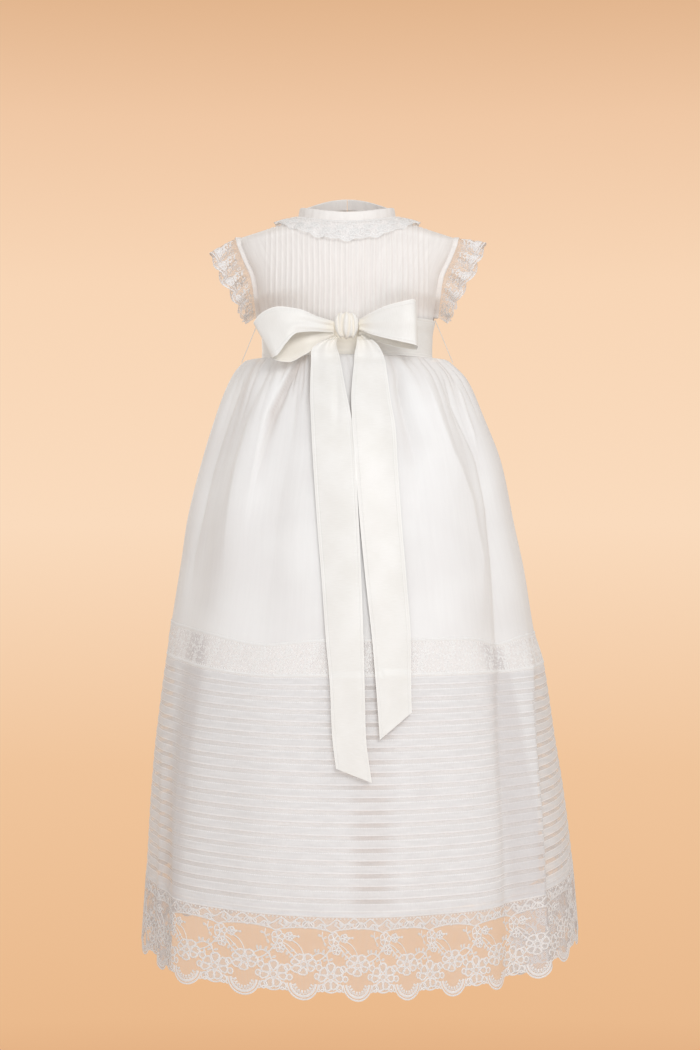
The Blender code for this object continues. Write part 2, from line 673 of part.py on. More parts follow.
def part_at_side(grid, back):
    """Half a seam's gap along the side seams, below the underarm."""
    shift = SEAM_GAP / 2.0 if back else -SEAM_GAP / 2.0
    for row in grid:
        for point in (row[0], row[-1]):
            if abs(point[1]) < SEAM_GAP:
                point[1] = shift
    return grid


def make_bodice_front(finish):
    """Upright pintucks raised on the outer face, over a plain inside."""
    angles = even_angles(2 * PINTUCK_COUNT)
    relief = [PINTUCK_PROUD if i % 2 == 0 else 0.0 for i in range(len(angles))]
    rises = (0, 1, 2, 3, 4, 5, 6, TOP_ROW)
    outer = bodice_grid(angles, rises, False, relief)
    plain_angles = even_angles(28)
    plain_depths = [PINTUCK_PROUD + BODICE_WALL] * len(plain_angles)
    inner = bodice_grid(plain_angles, rises, False, plain_depths)
    for grid in (outer, inner):
        part_at_side(part_at_shoulder(grid, False), False)
    add_wall("bodice_front", outer, inner, finish)


def make_bodice_backs(finish):
    """Two plain panels that meet at the centre-back opening."""
    rises = (0, 1, 2, 3, 4, 5, 6, TOP_ROW)
    opening = math.degrees(SEAM_GAP / 2.0 / BODICE_BACK[0][0])
    for name, sign in (("bodice_back_right", -1.0), ("bodice_back_left", 1.0)):
        angles = [sign * angle for angle in np.linspace(opening, 90.0, 13)]
        outer = bodice_grid(angles, rises, True, [0.0] * len(angles))
        inner = bodice_grid(angles, rises, True, [PINTUCK_PROUD + BODICE_WALL] * len(angles))
        for grid in (outer, inner):
            part_at_side(part_at_shoulder(grid, True), True)
        add_wall(name, outer, inner, finish)


def make_buttons(finish):
    """Small shank buttons down the left back, beside the opening."""
    for number, rise in enumerate(BUTTON_RISES, start=1):
        seat = bodice_point(BUTTON_INSET, rise, True)
        around = bodice_point(BUTTON_INSET + 1.0, rise, True) - bodice_point(BUTTON_INSET - 1.0, rise, True)
        up = bodice_point(BUTTON_INSET, rise + 0.05, True) - bodice_point(BUTTON_INSET, rise - 0.05, True)
        outward = unit(np.cross(up, around))
        shape = bmesh.new()
        bmesh.ops.create_cone(shape, cap_ends=True, segments=16, radius1=BUTTON_RADIUS,
                              radius2=BUTTON_RADIUS * 0.86, depth=BUTTON_THICKNESS)
        button = add_mesh("back_button_%d" % number, shape, finish)
        middle = seat + outward * (SEAM_GAP + BUTTON_THICKNESS / 2.0)
        button.location = middle
        lean = math.atan2(math.hypot(outward[0], outward[1]), outward[2])
        button.rotation_euler = (0.0, lean, math.atan2(outward[1], outward[0]))


# ---------------------------------------------------------------- neck

def neck_point(azimuth, outset, rise):
    """A point beside the neckline: outset level with the neck, and rise above it."""
    turn = math.radians(azimuth)
    side = math.sin(turn)
    ahead = math.cos(turn)
    depth = NECK_FRONT if ahead > 0.0 else NECK_BACK
    x = (NECK_HALF_WIDTH + outset) * side + LEAN_AT_BODICE
    y = -(depth + outset) * ahead
    return np.array((x, y, neck_level(side, ahead) + rise))


def make_neckband(finish):
    azimuths = np.linspace(-180.0 + NECK_OPENING, 180.0 - NECK_OPENING, 37)
    foot = 0.0006
    outer = [[neck_point(a, 0.0, foot) for a in azimuths],
             [neck_point(a, -NECKBAND_LEAN, foot + NECKBAND_HEIGHT) for a in azimuths]]
    inner = [[neck_point(a, -CLOTH, foot) for a in azimuths],
             [neck_point(a, -NECKBAND_LEAN - CLOTH, foot + NECKBAND_HEIGHT) for a in azimuths]]
    add_wall("neckband", outer, inner, finish)


def collar_point(azimuth, out, lift):
    """The collar lace falls from the neckband over the bodice: a point out along its width, 0 to 1."""
    turn = math.radians(azimuth)
    ahead = math.cos(turn)
    if ahead > 0.0:
        fall = blend(COLLAR_FALL_SIDE, COLLAR_FALL_FRONT, ahead ** 2)
    else:
        fall = blend(COLLAR_FALL_SIDE, COLLAR_FALL_BACK, ahead ** 4)
    width = blend(COLLAR_WIDTH, COLLAR_WIDTH * 0.74, ahead * ahead)
    return neck_point(azimuth, 0.0006 + width * out, 0.0010 + fall * out + lift)


def make_collar_lace(finish):
    azimuths = np.linspace(-180.0 + NECK_OPENING, 180.0 - NECK_OPENING, 4 * COLLAR_WAVES + 1)
    outer = []
    inner = []
    for out in (0.0, 0.5, 1.0):
        waves = [COLLAR_WAVE * out * (1.0 - math.cos(2.0 * math.pi * i / 4.0)) for i in range(len(azimuths))]
        inner.append([collar_point(a, out, wave + 0.0008) for a, wave in zip(azimuths, waves)])
        outer.append([collar_point(a, out, wave + 0.0008 + LACE * 1.25) for a, wave in zip(azimuths, waves)])
    add_wall("collar_lace", outer, inner, finish)


# ---------------------------------------------------------------- armholes

def armhole_point(part, sign):
    """Round the armhole: part 0 is the shoulder tip, 0.5 the underarm, down the front and up the back."""
    climb = TOP_ROW - UNDERARM_ROW
    if part <= 0.5:
        point = bodice_point(90.0, TOP_ROW - climb * part * 2.0, False)
    else:
        point = bodice_point(90.0, UNDERARM_ROW + climb * (part - 0.5) * 2.0, True)
    return np.array(((point[0] - LEAN_AT_BODICE) * sign + LEAN_AT_BODICE, point[1], point[2]))


def armhole_frame(part, sign):
    """The edge point there, and the way from the armhole's middle across the edge, in the plane of the hole."""
    edge = armhole_point(part, sign)
    ahead = armhole_point((part + 0.01) % 1.0, sign)
    behind = armhole_point((part - 0.01) % 1.0, sign)
    along = ahead - behind
    across = unit(np.array((0.0, along[2], -along[1])))
    middle = np.array((edge[0], 0.0, (SHOULDER_TIP[2] + BODICE_FRONT[UNDERARM_ROW][2]) / 2.0))
    if np.dot(across, edge - middle) < 0.0:
        across = -across
    return edge, across


def armhole_ring(parts, sign, out, across_edge):
    """One ring of points: out along the arm from the edge, and across the edge."""
    ring = []
    for part in parts:
        edge, across = armhole_frame(part, sign)
        ring.append(edge + np.array((sign * out, 0.0, 0.0)) + across * across_edge)
    return ring


def make_armhole_binding(name, sign, finish):
    parts = [i / 30.0 for i in range(30)]
    far = BINDING_STANDS_OFF + BINDING_WIDTH
    outer = [armhole_ring(parts, sign, out, BINDING_WALL) for out in (BINDING_STANDS_OFF, far)]
    inner = [armhole_ring(parts, sign, out, 0.0) for out in (BINDING_STANDS_OFF, far)]
    add_wall(name, outer, inner, finish, closed=True)


def make_sleeve_lace(side, sign, finish):
    """A gathered flounce that stands out from the armhole and turns down towards its edge."""
    sleeve = dict(zip(SLEEVE_COLUMNS, SLEEVES[side]))
    count = 4 * SLEEVE_WAVES
    near = BINDING_STANDS_OFF + BINDING_WIDTH + SEAM_GAP + 0.0002
    grids = ([], [])
    for out in (0.0, 0.5, 1.0):
        rows = ([], [])
        for i in range(count):
            part = i / count
            edge, across = armhole_frame(part, sign)
            under = 0.5 - 0.5 * math.cos(2.0 * math.pi * part)
            width = sleeve["width"] * (1.0 - 0.50 * under ** 3)
            drop = blend(sleeve["droop"], sleeve["droop_under"], under ** 4)
            flare = unit(np.array((sign * 1.0, 0.18 * across[1], 0.30 * across[2] - drop)))
            wave = SLEEVE_WAVE * out * math.cos(0.5 * math.pi * (i + 2)) * (1.0 - 0.85 * under ** 4)
            root = edge + np.array((sign * near, 0.0, 0.0)) + across * 0.0003
            middle = root + flare * width * out + across * wave
            rows[0].append(middle + across * LACE)
            rows[1].append(middle)
        grids[0].append(rows[0])
        grids[1].append(rows[1])
    add_wall("sleeve_lace_" + side, grids[0], grids[1], finish, closed=True)


# ---------------------------------------------------------------- sash and bow

def sash_point(azimuth, share, outset):
    """A point of the sash: share 0 is its lower edge, 1 its upper edge."""
    pinch = SASH_PINCH * math.exp(-0.5 * (angle_between(azimuth, 0.0) / 15.0) ** 2)
    level = blend(SASH_BOTTOM + pinch, SASH_TOP - pinch, share)
    turn = math.radians(azimuth)
    ahead = math.cos(turn)
    height = blend(0.0, 2.0, (level - BODICE_BOTTOM) / (BODICE_FRONT[UNDERARM_ROW][2] - BODICE_BOTTOM))
    panel = FRONT_PANEL if ahead > 0.0 else BACK_PANEL
    x = (panel.at("side_x", height) + outset) * math.sin(turn) + LEAN_AT_BODICE
    y = panel.at("middle_y", height) * abs(ahead) - outset * ahead
    return np.array((x, y, level))


def make_sash(finish):
    azimuths = np.linspace(0.0, 360.0, 40, endpoint=False)
    shares = (0.0, 0.45, 1.0)
    outer = [[sash_point(a, share, SASH_CLEARANCE + RIBBON) for a in azimuths] for share in shares]
    inner = [[sash_point(a, share, SASH_CLEARANCE) for a in azimuths] for share in shares]
    add_wall("sash_band", outer, inner, finish, closed=True)


def make_knot(finish):
    """A soft block with upright creases, from a coarse cage."""
    shape = bmesh.new()
    bmesh.ops.create_cube(shape, size=2.0)
    bmesh.ops.subdivide_edges(shape, edges=list(shape.edges), cuts=2, use_grid_fill=True)
    for corner in shape.verts:
        if corner.co.y < -0.9 and abs(corner.co.z) < 0.9:
            corner.co.y += KNOT_CREASE if corner.co.x < 0.0 else 0.0
        for axis, half in enumerate(KNOT_HALF_SIZE):
            corner.co[axis] *= half
    knot = add_mesh("bow_knot", shape, finish)
    soften = knot.modifiers.new("soft", "SUBSURF")
    soften.levels = 1
    soften.render_levels = 1
    knot.location = KNOT_CENTRE


def make_loop(name, table, finish):
    sections = indexed(LOOP_COLUMNS, table)
    middle_x = sum(row[0] for row in table) / len(table)
    steps = 2 * (len(table) - 1)
    grid = []
    for i in range(steps + 1):
        place = 0.5 * i
        upper = np.array([sections.at("upper_" + axis, place) for axis in "xyz"])
        lower = np.array([sections.at("lower_" + axis, place) for axis in "xyz"])
        row = [blend(upper, lower, j / LOOP_ACROSS) for j in range(LOOP_ACROSS + 1)]
        grid.append(row)
    if middle_x < 0.0:
        grid.reverse()
    add_shell(name, grid, RIBBON, finish)


def skirt_front_depth(x, level):
    """Depth of the skirt's outer face in front, at a sideways place, tucks included."""
    half_width = SKIRT.at("half_width", level)
    azimuth = math.degrees(math.asin((x - SKIRT.at("lean", level)) / half_width))
    outset = TUCK_PROUD if level < INSERTION_BOTTOM + 0.004 else 0.0
    return skirt_point(azimuth, level, outset)[1]


def make_tail(name, table, finish):
    grid = []
    for row in table:
        tail = dict(zip(TAIL_COLUMNS, row))
        line = []
        for j in range(TAIL_ACROSS + 1):
            share = j / TAIL_ACROSS
            x = blend(tail["right_x"], tail["left_x"], share)
            z = blend(tail["right_z"], tail["left_z"], share)
            y = tail["depth"] if tail["lift"] == 0.0 else skirt_front_depth(x, z) - tail["lift"]
            line.append((x, y, z))
        grid.append(line)
    grid.reverse()
    add_shell(name, grid, RIBBON, finish)


def make_belt_thread(name, sign, finish):
    """A taut thread on a smooth bend over the sash."""
    top, bend = (np.array((p[0] * sign + LEAN_AT_BODICE, p[1], p[2])) for p in (THREAD_TOP, THREAD_BEND))
    clear = THREAD_RADIUS + SEAM_GAP
    bottom = skirt_point(sign * THREAD_FOOT_AZIMUTH, THREAD_FOOT_LEVEL) + np.array((sign * clear, 0.0, clear))
    curve = bpy.data.curves.new(name, "CURVE")
    curve.dimensions = "3D"
    curve.bevel_depth = THREAD_RADIUS
    curve.bevel_resolution = 1
    curve.use_fill_caps = True
    spline = curve.splines.new("POLY")
    spline.points.add(THREAD_POINTS - 1)
    for i, place in enumerate(spline.points):
        t = i / (THREAD_POINTS - 1)
        point = top * (1.0 - t) ** 2 + bend * 2.0 * t * (1.0 - t) + bottom * t * t
        place.co = (*point, 1.0)
    curve.materials.append(finish)
    GOWN.objects.link(bpy.data.objects.new(name, curve))


# ---------------------------------------------------------------- the gown

GOWN = start_scene()


def main():
    finishes = make_finishes()
    make_skirt(finishes["organza"])
    make_insertion(finishes["lace"])
    make_tucked_tier(finishes["organza"])
    make_hem_lace(finishes["lace"])
    make_lining(finishes["lining"])
    make_bodice_front(finishes["organza"])
    make_bodice_backs(finishes["organza"])
    make_buttons(finishes["button"])
    make_neckband(finishes["organza"])
    make_collar_lace(finishes["lace"])
    for side, sign in (("right", -1.0), ("left", 1.0)):
        make_armhole_binding("armhole_binding_" + side, sign, finishes["organza"])
        make_sleeve_lace(side, sign, finishes["lace"])
        make_belt_thread("belt_thread_" + side, sign, finishes["thread"])
    make_sash(finishes["satin"])
    make_knot(finishes["satin"])
    make_loop("bow_loop_right", RIGHT_LOOP, finishes["satin"])
    make_loop("bow_loop_left", LEFT_LOOP, finishes["satin"])
    make_tail("bow_tail_right", RIGHT_TAIL, finishes["satin"])
    make_tail("bow_tail_left", LEFT_TAIL, finishes["satin"])


main()
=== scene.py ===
# Looks of the christening gown: thin cloth, lace, ribbon and thread on the forms of its solid parts.
import math

import bmesh
import bpy
import mathutils
import numpy as np
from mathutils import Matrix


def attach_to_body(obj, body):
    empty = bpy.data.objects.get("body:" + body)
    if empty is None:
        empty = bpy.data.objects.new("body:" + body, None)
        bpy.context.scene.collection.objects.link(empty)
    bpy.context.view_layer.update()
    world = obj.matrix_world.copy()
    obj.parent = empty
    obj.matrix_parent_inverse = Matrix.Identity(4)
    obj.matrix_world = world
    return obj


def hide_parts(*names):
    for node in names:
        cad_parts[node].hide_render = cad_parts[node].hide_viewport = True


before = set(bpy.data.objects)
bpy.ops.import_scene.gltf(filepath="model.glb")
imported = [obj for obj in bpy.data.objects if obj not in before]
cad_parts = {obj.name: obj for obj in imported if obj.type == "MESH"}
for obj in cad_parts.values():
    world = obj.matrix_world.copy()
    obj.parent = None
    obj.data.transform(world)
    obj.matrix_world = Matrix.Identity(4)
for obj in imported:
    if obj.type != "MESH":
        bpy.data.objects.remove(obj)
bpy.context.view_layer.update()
scene = bpy.context.scene
circle = 2 * math.pi


def addObject(name, data):
    thing = bpy.data.objects.new(name, data)
    scene.collection.objects.link(thing)
    return thing


def polar(centre, reach, degrees):
    turn = math.radians(degrees)
    return centre[0] + reach * math.cos(turn), centre[1] + reach * math.sin(turn)


# camera

viewSettings = {"place": (0, -2.1, -0.321), "lens": 67.92, "floorLevel": -1.5, "floorRadius": 1.4}

scene.view_settings.view_transform = "Standard"
scene.cycles.transparent_max_bounces = 26
scene.cycles.max_bounces = 6
scene.cycles.diffuse_bounces = 3
camera = addObject("camera", bpy.data.cameras.new("camera"))
camera.data.lens = viewSettings["lens"]
camera.location = viewSettings["place"]
camera.rotation_euler = (math.radians(90), 0, 0)
scene.camera = camera


# node graphs

def findSocket(sockets, key):
    named = [socket for socket in sockets if socket.identifier == key]
    return named[0] if named else sockets[key]


class Signal:
    # one output of a node, with arithmetic
    def __init__(self, graph, socket):
        self.graph, self.socket = graph, socket

    def __add__(self, other):
        return self.graph.math("ADD", self, other)

    def __sub__(self, other):
        return self.graph.math("SUBTRACT", self, other)

    def __rsub__(self, other):
        return self.graph.math("SUBTRACT", other, self)

    def __mul__(self, other):
        return self.graph.math("MULTIPLY", self, other)

    def __truediv__(self, other):
        return self.graph.math("DIVIDE", self, other)


def colour(red, green, blue):
    # from tones of 0 to 255 to linear light
    def linear(tone):
        share = tone / 255
        return share / 12.92 if share <= 0.04045 else ((share + 0.055) / 1.055) ** 2.4
    return linear(red), linear(green), linear(blue), 1


class Graph:
    def __init__(self, tree):
        self.tree = tree

    def fill(self, node, values):
        for key, value in values.items():
            socket = findSocket(node.inputs, key)
            if isinstance(value, Signal):
                self.tree.links.new(value.socket, socket)
            else:
                socket.default_value = value

    def make(self, kind, values=None, **settings):
        node = self.tree.nodes.new(kind)
        for key, value in settings.items():
            setattr(node, key, value)
        self.fill(node, values or {})
        return node

    def take(self, node, key=0):
        return Signal(self, findSocket(node.outputs, key))

    def step(self, kind, values=None, output=0, **settings):
        # any node, from its inputs to one output
        return self.take(self.make(kind, values, **settings), output)

    def math(self, operation, *values):
        return self.step("ShaderNodeMath", dict(enumerate(values)), operation=operation)

    def sine(self, value):
        return self.math("SINE", value)

    def capped(self, value):
        return self.math("MINIMUM", value, 1)

    def smooth(self, value, low, high):
        return self.step("ShaderNodeMapRange", {"Value": value, "From Min": low, "From Max": high},
                         interpolation_type="SMOOTHSTEP")

    def band(self, value, low, full, ends, gone):
        return self.smooth(value, low, full) * (1 - self.smooth(value, ends, gone))

    def mixColour(self, factor, low, high):
        low, high = (tone if isinstance(tone, Signal) else colour(*tone) for tone in (low, high))
        return self.step("ShaderNodeMix", {"Factor_Float": factor, "A_Color": low, "B_Color": high},
                         "Result_Color", data_type="RGBA")

    def vector(self, x, y):
        return self.step("ShaderNodeCombineXYZ", {"X": x, "Y": y})

    def split(self, vector, *axes):
        node = self.make("ShaderNodeSeparateXYZ", {"Vector": vector})
        return [self.take(node, axis) for axis in axes]

    def noise(self, vector, scale, detail, roughness):
        return self.step("ShaderNodeTexNoise", {"Vector": vector, "Scale": scale, "Detail": detail,
                                                "Roughness": roughness})

    def value(self, name):
        # a point value that the mesh carries
        return self.step("ShaderNodeAttribute", None, "Fac", attribute_name=name)

    def bump(self, shader, height, distance, strength):
        values = {"Height": height, "Distance": distance, "Strength": strength}
        self.fill(shader, {"Normal": self.step("ShaderNodeBump", values)})


def startFinish(name):
    material = bpy.data.materials.new(name)
    material.use_nodes = True
    return material, Graph(material.node_tree), material.node_tree.nodes["Principled BSDF"]


# backdrop, lamps and floor

backdropTones = {
    # the backdrop's painted light: lightest at mid height, darker above and below; how high, and the tone
    # there
    "column": ((-0.3, (214, 160, 116)), (-0.24, (234, 186, 141)), (-0.12, (240, 197, 156)),
               (0, (250, 219, 189)), (0.12, (248, 214, 182)), (0.2, (240, 200, 165)),
               (0.27, (223, 177, 136))),
    # light from in front and from behind, and where one turns into the other
    "front": (250, 249, 250), "behind": (250, 232, 214), "turn": (-0.4, 0.6), "strength": 0.63,
    "floor": (240, 205, 172),
}
lamps = {
    # name: place, size, power, aim
    "key": ((0.8, -2.3, 1.25), 1.4, 26.2, (0, 0, -0.35)),
    "fill": ((-0.9, -2.5, 0.1), 1.5, 5, (0, 0, -0.45)),
    "low": ((0.3, -2.3, -1.2), 1.2, 3.6, (0, 0, -0.5)),
    "back": ((-0.9, 2.6, 0.7), 1.8, 11, (0, 0, -0.4)),
}


def makeWorld():
    world = bpy.data.worlds.new("studio")
    scene.world = world
    world.use_nodes = True
    graph = Graph(world.node_tree)
    depth, height = graph.split(graph.step("ShaderNodeTexCoord"), "Y", "Z")
    ramp = graph.make("ShaderNodeValToRGB")
    stops = backdropTones["column"]
    low, high = stops[0][0], stops[-1][0]
    elements = ramp.color_ramp.elements
    while len(elements) < len(stops):
        elements.new(0.5)
    for element, (place, tones) in zip(elements, stops):
        element.position = (place - low) / (high - low)
        element.color = colour(*tones)
    graph.fill(ramp, {"Fac": (height - low) / (high - low)})
    behind = graph.smooth(depth, *backdropTones["turn"])
    ambient = graph.mixColour(behind, backdropTones["front"], backdropTones["behind"])
    seen = graph.step("ShaderNodeLightPath", None, "Is Camera Ray")
    strength = backdropTones["strength"]
    graph.fill(world.node_tree.nodes["Background"],
               {"Color": graph.mixColour(seen, ambient, graph.take(ramp, "Color")),
                "Strength": seen * (1 - strength) + strength})


def makeLamp(name, place, size, power, target):
    data = bpy.data.lights.new(name, "AREA")
    data.size, data.energy = size, power
    lamp = addObject(name, data)
    lamp.location = place
    lamp.rotation_euler = (mathutils.Vector(target) - lamp.location).to_track_quat("-Z", "Y").to_euler()


def makeFloor():
    corners = 96
    ring = [(*polar((0, 0), viewSettings["floorRadius"], 360 * i / corners), viewSettings["floorLevel"])
            for i in range(corners)]
    mesh = bpy.data.meshes.new("floor")
    mesh.from_pydata(ring, [], [list(range(corners))])
    material, graph, shader = startFinish("paper")
    graph.fill(shader, {"Base Color": colour(*backdropTones["floor"]), "Roughness": 0.9})
    mesh.materials.append(material)
    addObject("floor", mesh)


makeWorld()
for name, values in lamps.items():
    makeLamp(name, *values)
makeFloor()
print("stage ready")


# sizes of the gown, in metres; the tables are in millimetres and degrees

def metres(*rows):
    return np.array(rows, float) / 1000


waistLevel, insertionTop, insertionBottom, tierBottom = -0.1462, -0.4305, -0.4673, -0.6905
tuckCount = 19
neckHalfWidth, neckFront, neckBack = 0.052, 0.042, 0.04
neckFrontLevel, neckSideLevel, neckBackLevel = -0.007, 0.002, 0.018
shoulderTip = (0.115, 0, -0.0175)
bodiceLean = -0.003
ribbonWidth = 0.0385

# level, half width, depth in front and behind, lean, lift at the right and the left side
skirtSections = metres(
    (-146.2, 88.95, 65.45, 63.45, -3, 0, 0), (-147, 106, 80, 79, -3, 0, 0), (-150.5, 112, 86.5, 86, -3, 0, 0),
    (-168.5, 126.5, 100.5, 100, -1, 0, 0), (-206.7, 141.5, 121, 121, 0, 0, 0),
    (-256.5, 158.5, 141, 141, 2, 1, 0), (-314, 171.5, 159, 157, 1, 3, 0), (-370, 181.5, 174, 171, 3, 7, 0),
    (-430.5, 191, 188, 184, 3.5, 12, -1), (-467.3, 198.5, 195.5, 191, 6, 12, 2),
    (-540, 208.5, 208, 203, 6, 10.5, 8.5), (-610, 217, 219, 213, 8, 10, 14),
    (-690.5, 224, 230, 223, 10.3, 11, 20), (-768.4, 230, 238.5, 231, 11, 14, 21))
# wide folds: azimuth at the waist and at the hem, depth at each of the levels, breadth in degrees
foldLevels = (-0.15, -0.2, -0.43, -0.7684)
skirtFolds = (
    (-30, -38, -1.5, -5, -0.5, -1, 5), (-43, -49, 0, 3, 2, 4, 7), (-60, -57, -1, -4.5, -2.5, -7, 6),
    (-76, -69, 0, 2.5, 2.5, 5, 7), (22, 20, -1, -4, -1, -3, 6), (38, 33, 0, 4, 2.5, 4.5, 7),
    (54, 42, -1, -4.5, -2.5, -6, 6), (71, 60, 0, 2.5, 2.5, 5, 8), (99, 97, -1, -4, -2.5, -6, 7),
    (118, 116, 0, 4, 2.5, 5, 8), (137, 138, -1, -4.5, -2, -6, 7), (157, 158, 0, 3, 2.5, 4.5, 8),
    (178, 177, -1, -4.5, -2, -5, 7), (-160, -161, 0, 4, 2.5, 5, 8), (-139, -140, -1, -4, -2.5, -6, 7),
    (-119, -120, 0, 3, 2.5, 5, 8), (-99, -96, -1, -4, -2, -5, 7))
# where the insertion dips, in metres: azimuth, level, drop, half breadth in degrees, reach
skirtSags = ((-28, -0.4305, 0.0065, 9, 0.025), (50, -0.4305, 0.008, 6, 0.02))
liningSections = metres(
    (-148.4, 87.9, 64.4, 62.4, -3), (-160, 96, 72.5, 71, -3), (-190, 115, 95.5, 94.5, -1),
    (-240, 140, 120, 120, 1), (-314, 162, 148, 146, 1), (-430, 185.5, 180.5, 176.5, 3),
    (-520, 193, 189, 184, 5), (-706, 195, 196, 190, 6))

# Creases listed one by one. A row is the half breadth in degrees towards -azimuth and towards +azimuth, and
# the
# route down the cloth: azimuth, how far down, how far it stands out (+) or in (-).
skirtCreases = (
    (0.5, 2, ((-27, 148, 0), (-28.5, 160, -6.6), (-31.5, 180, -8), (-35, 210, -6), (-36, 237, -3),
              (-36.5, 285, 0))),
    (0.4, 0.4, ((-27.6, 155, 0), (-30.6, 175, 3), (-33.4, 196, 3), (-34.8, 212, 0))),
    (0.34, 0.34, ((-28.2, 154, 0), (-29.6, 164, -2.2), (-32.2, 182, -2.4), (-35.2, 206, -2),
                  (-36.2, 222, 0))),
    (0.34, 0.34, ((-26.4, 160, 0), (-28, 170, -1.4), (-30.8, 190, -1.5), (-32.6, 208, 0))),
    (3, 1.2, ((-31.5, 152, 0), (-33.5, 180, 3.4), (-37, 210, 3.2), (-38, 260, 2), (-38.5, 330, 0))),
    (4.5, 3, ((-42, 150, -2), (-44, 180, -5.2), (-47, 215, -4.6), (-49, 260, -2.4), (-50, 320, 0))),
    (7, 7, ((-22, 165, 0), (-24, 210, -3.6), (-26, 300, -5), (-27, 390, -3.6), (-28, 440, 0))),
    (0.9, 0.9, ((-26.5, 150, -3), (-27, 172, -2.4), (-27, 195, 0))),
    (0.9, 0.9, ((-23.5, 150, -3), (-22, 176, -2.4), (-22, 200, 0))),
    (1, 1, ((-19.5, 150, -2.8), (-18, 180, -2.2), (-18, 215, 0))),
    (4, 2.4, ((-63, 155, 0), (-64, 180, -4), (-65.5, 212, -4.4), (-66, 260, -4), (-65, 317, -3.4),
              (-66, 357, -2), (-63.5, 415, 0))),
    (2.5, 4, ((-42, 155, 0), (-43, 180, 2.6), (-45.5, 212, 3.4), (-46.5, 260, 3), (-45, 315, 2.2),
              (-45.5, 385, 0))),
    (2, 3, ((25.5, 152, 0), (25.5, 166, -4), (23, 182, -4.6), (24, 230, -3.6), (24, 300, 0))),
    (3.5, 2.4, ((35.5, 155, 0), (36.5, 180, 3.6), (39, 245, 4), (46.5, 295, 3.4), (47.5, 352, 2.6),
                (41.5, 430, 0))),
    (1.6, 4.5, ((52, 160, 0), (53, 197, -5.4), (57, 252, -6), (57, 305, -5.4), (53, 364, -4.4),
                (50, 427, -3.4), (44.5, 494, -3.4), (41.5, 591, -4), (39.5, 679, -4.6), (38, 766, -5.4))),
    (0.8, 0.8, ((60.5, 172, 0), (60.5, 187, 2.6), (60, 225, 2.4), (59.5, 245, 0))),
    # the fold edges at both sides of the hem
    (5, 16, ((-56, 400, 0), (-56, 447, 3), (-55, 504, 5.6), (-54, 561, 8), (-53, 629, 10), (-50.5, 696, 11.8),
             (-48, 768, 13))),
    (2, 7, ((-69.5, 509, 0), (-64, 606, 4), (-61.5, 704, 7.2), (-59, 763, 9))),
    (7, 1.6, ((68, 420, 0), (57, 502, 7.6), (53, 601, 11.8), (50.5, 689, 13.4), (50, 761, 14.6))),
    # the hidden back
    (4, 3, ((104, 155, 0), (102, 220, -3), (103, 330, -3), (101, 430, 0))),
    (3, 5, ((128, 155, 0), (130, 210, 2.4), (133, 330, 2), (131, 440, 0))),
    (2, 3, ((150, 152, 0), (149, 185, -3), (147, 250, -2.2), (146, 330, 0))),
    (3, 3, ((171, 155, 0), (172, 200, -2.4), (170, 300, -2), (168, 420, 0))),
    (3, 2, ((-168, 152, 0), (-167, 190, -2.8), (-164, 270, -2.2), (-163, 350, 0))),
    (5, 3, ((-144, 155, 0), (-146, 220, 2.2), (-143, 340, 2.2), (-145, 450, 0))),
    (3, 4, ((-121, 155, 0), (-119, 215, -3.2), (-121, 320, -2.6), (-118, 430, 0))),
    (12, 2.2, ((112, 460, 0), (116, 560, 3.4), (119, 690, 5.8), (121, 768, 6.8))),
    (3, 3, ((146, 430, 0), (148, 520, -3), (149, 660, -3.6), (150, 768, -4.2))),
    (2.2, 11, ((-128, 460, 0), (-131, 570, 3), (-133, 690, 5.2), (-134, 768, 6))),
    (3.5, 3, ((-104, 440, 0), (-103, 560, -2.6), (-101, 690, -3.4), (-100, 768, -4))),
    (3, 4, ((178, 440, 0), (176, 560, 2.6), (175, 690, 3), (174, 768, 3.6))))


# smooth tables and forms, on arrays

def smoothTable(rows, keys=None):
    # smooth curves through the rows of a table, at the keys given or at the numbers of its rows
    table = np.array(rows, float)
    keys = np.arange(len(table)) if keys is None else keys
    secants = np.diff(table, axis=0) / np.diff(keys)[:, None]
    before, after = secants[:-1], secants[1:]
    same = before * after > 0
    between = np.where(same, 2 * before * after / np.where(same, before + after, 1), 0)
    slopes = np.concatenate([secants[:1], between, secants[-1:]])

    def at(key):
        # one value, or one grid of values, for each column
        key = np.clip(key, keys[0], keys[-1])
        i = np.clip(np.searchsorted(keys, key, side="right") - 1, 0, len(keys) - 2)
        span = (keys[i + 1] - keys[i])[..., None]
        t = (key - keys[i])[..., None] / span
        near, far = (1 + 2 * t) * table[i] + t * span * slopes[i], (3 - 2 * t) * table[i + 1]
        return np.moveaxis((1 - t) ** 2 * near + t * t * (far + (t - 1) * span * slopes[i + 1]), -1, 0)
    return at


def levelTable(rows):
    return smoothTable(rows[::-1, 1:], rows[::-1, 0])


skirt, lining = levelTable(skirtSections), levelTable(liningSections)


def mix(low, high, share):
    return low + (high - low) * share


def ramp(value, start, span):
    # 0 up to start, then to 1 over the span, which may run downwards
    return np.clip((value - start) / span, 0, 1)


def between(value, start, startSpan, end, endSpan):
    # 1 between start and end, with a ramp at each
    return ramp(value, start, startSpan) * ramp(value, end, endSpan)


def bell(value):
    return np.exp(-0.5 * value * value)


def stack(*axes):
    return np.stack(np.broadcast_arrays(*axes), axis=-1)


def ripples(turn, rows):
    # waves round a ring: depth, how many, where they start
    return sum(depth * np.sin(turn * count + start) for depth, count, start in rows)


def unit(vectors):
    return vectors / np.maximum(np.linalg.norm(vectors, axis=-1, keepdims=True), 1e-12)


def lengthAlong(line):
    return np.concatenate([[0], np.cumsum(np.linalg.norm(np.diff(line, axis=0), axis=1))])


def evenly(line, values, count):
    # the values at the places that divide a line evenly
    along = lengthAlong(line)
    return np.interp(np.linspace(0, along[-1], count + 1), along, values)


def turnBetween(azimuth, place):
    return (azimuth - place + 180) % 360 - 180


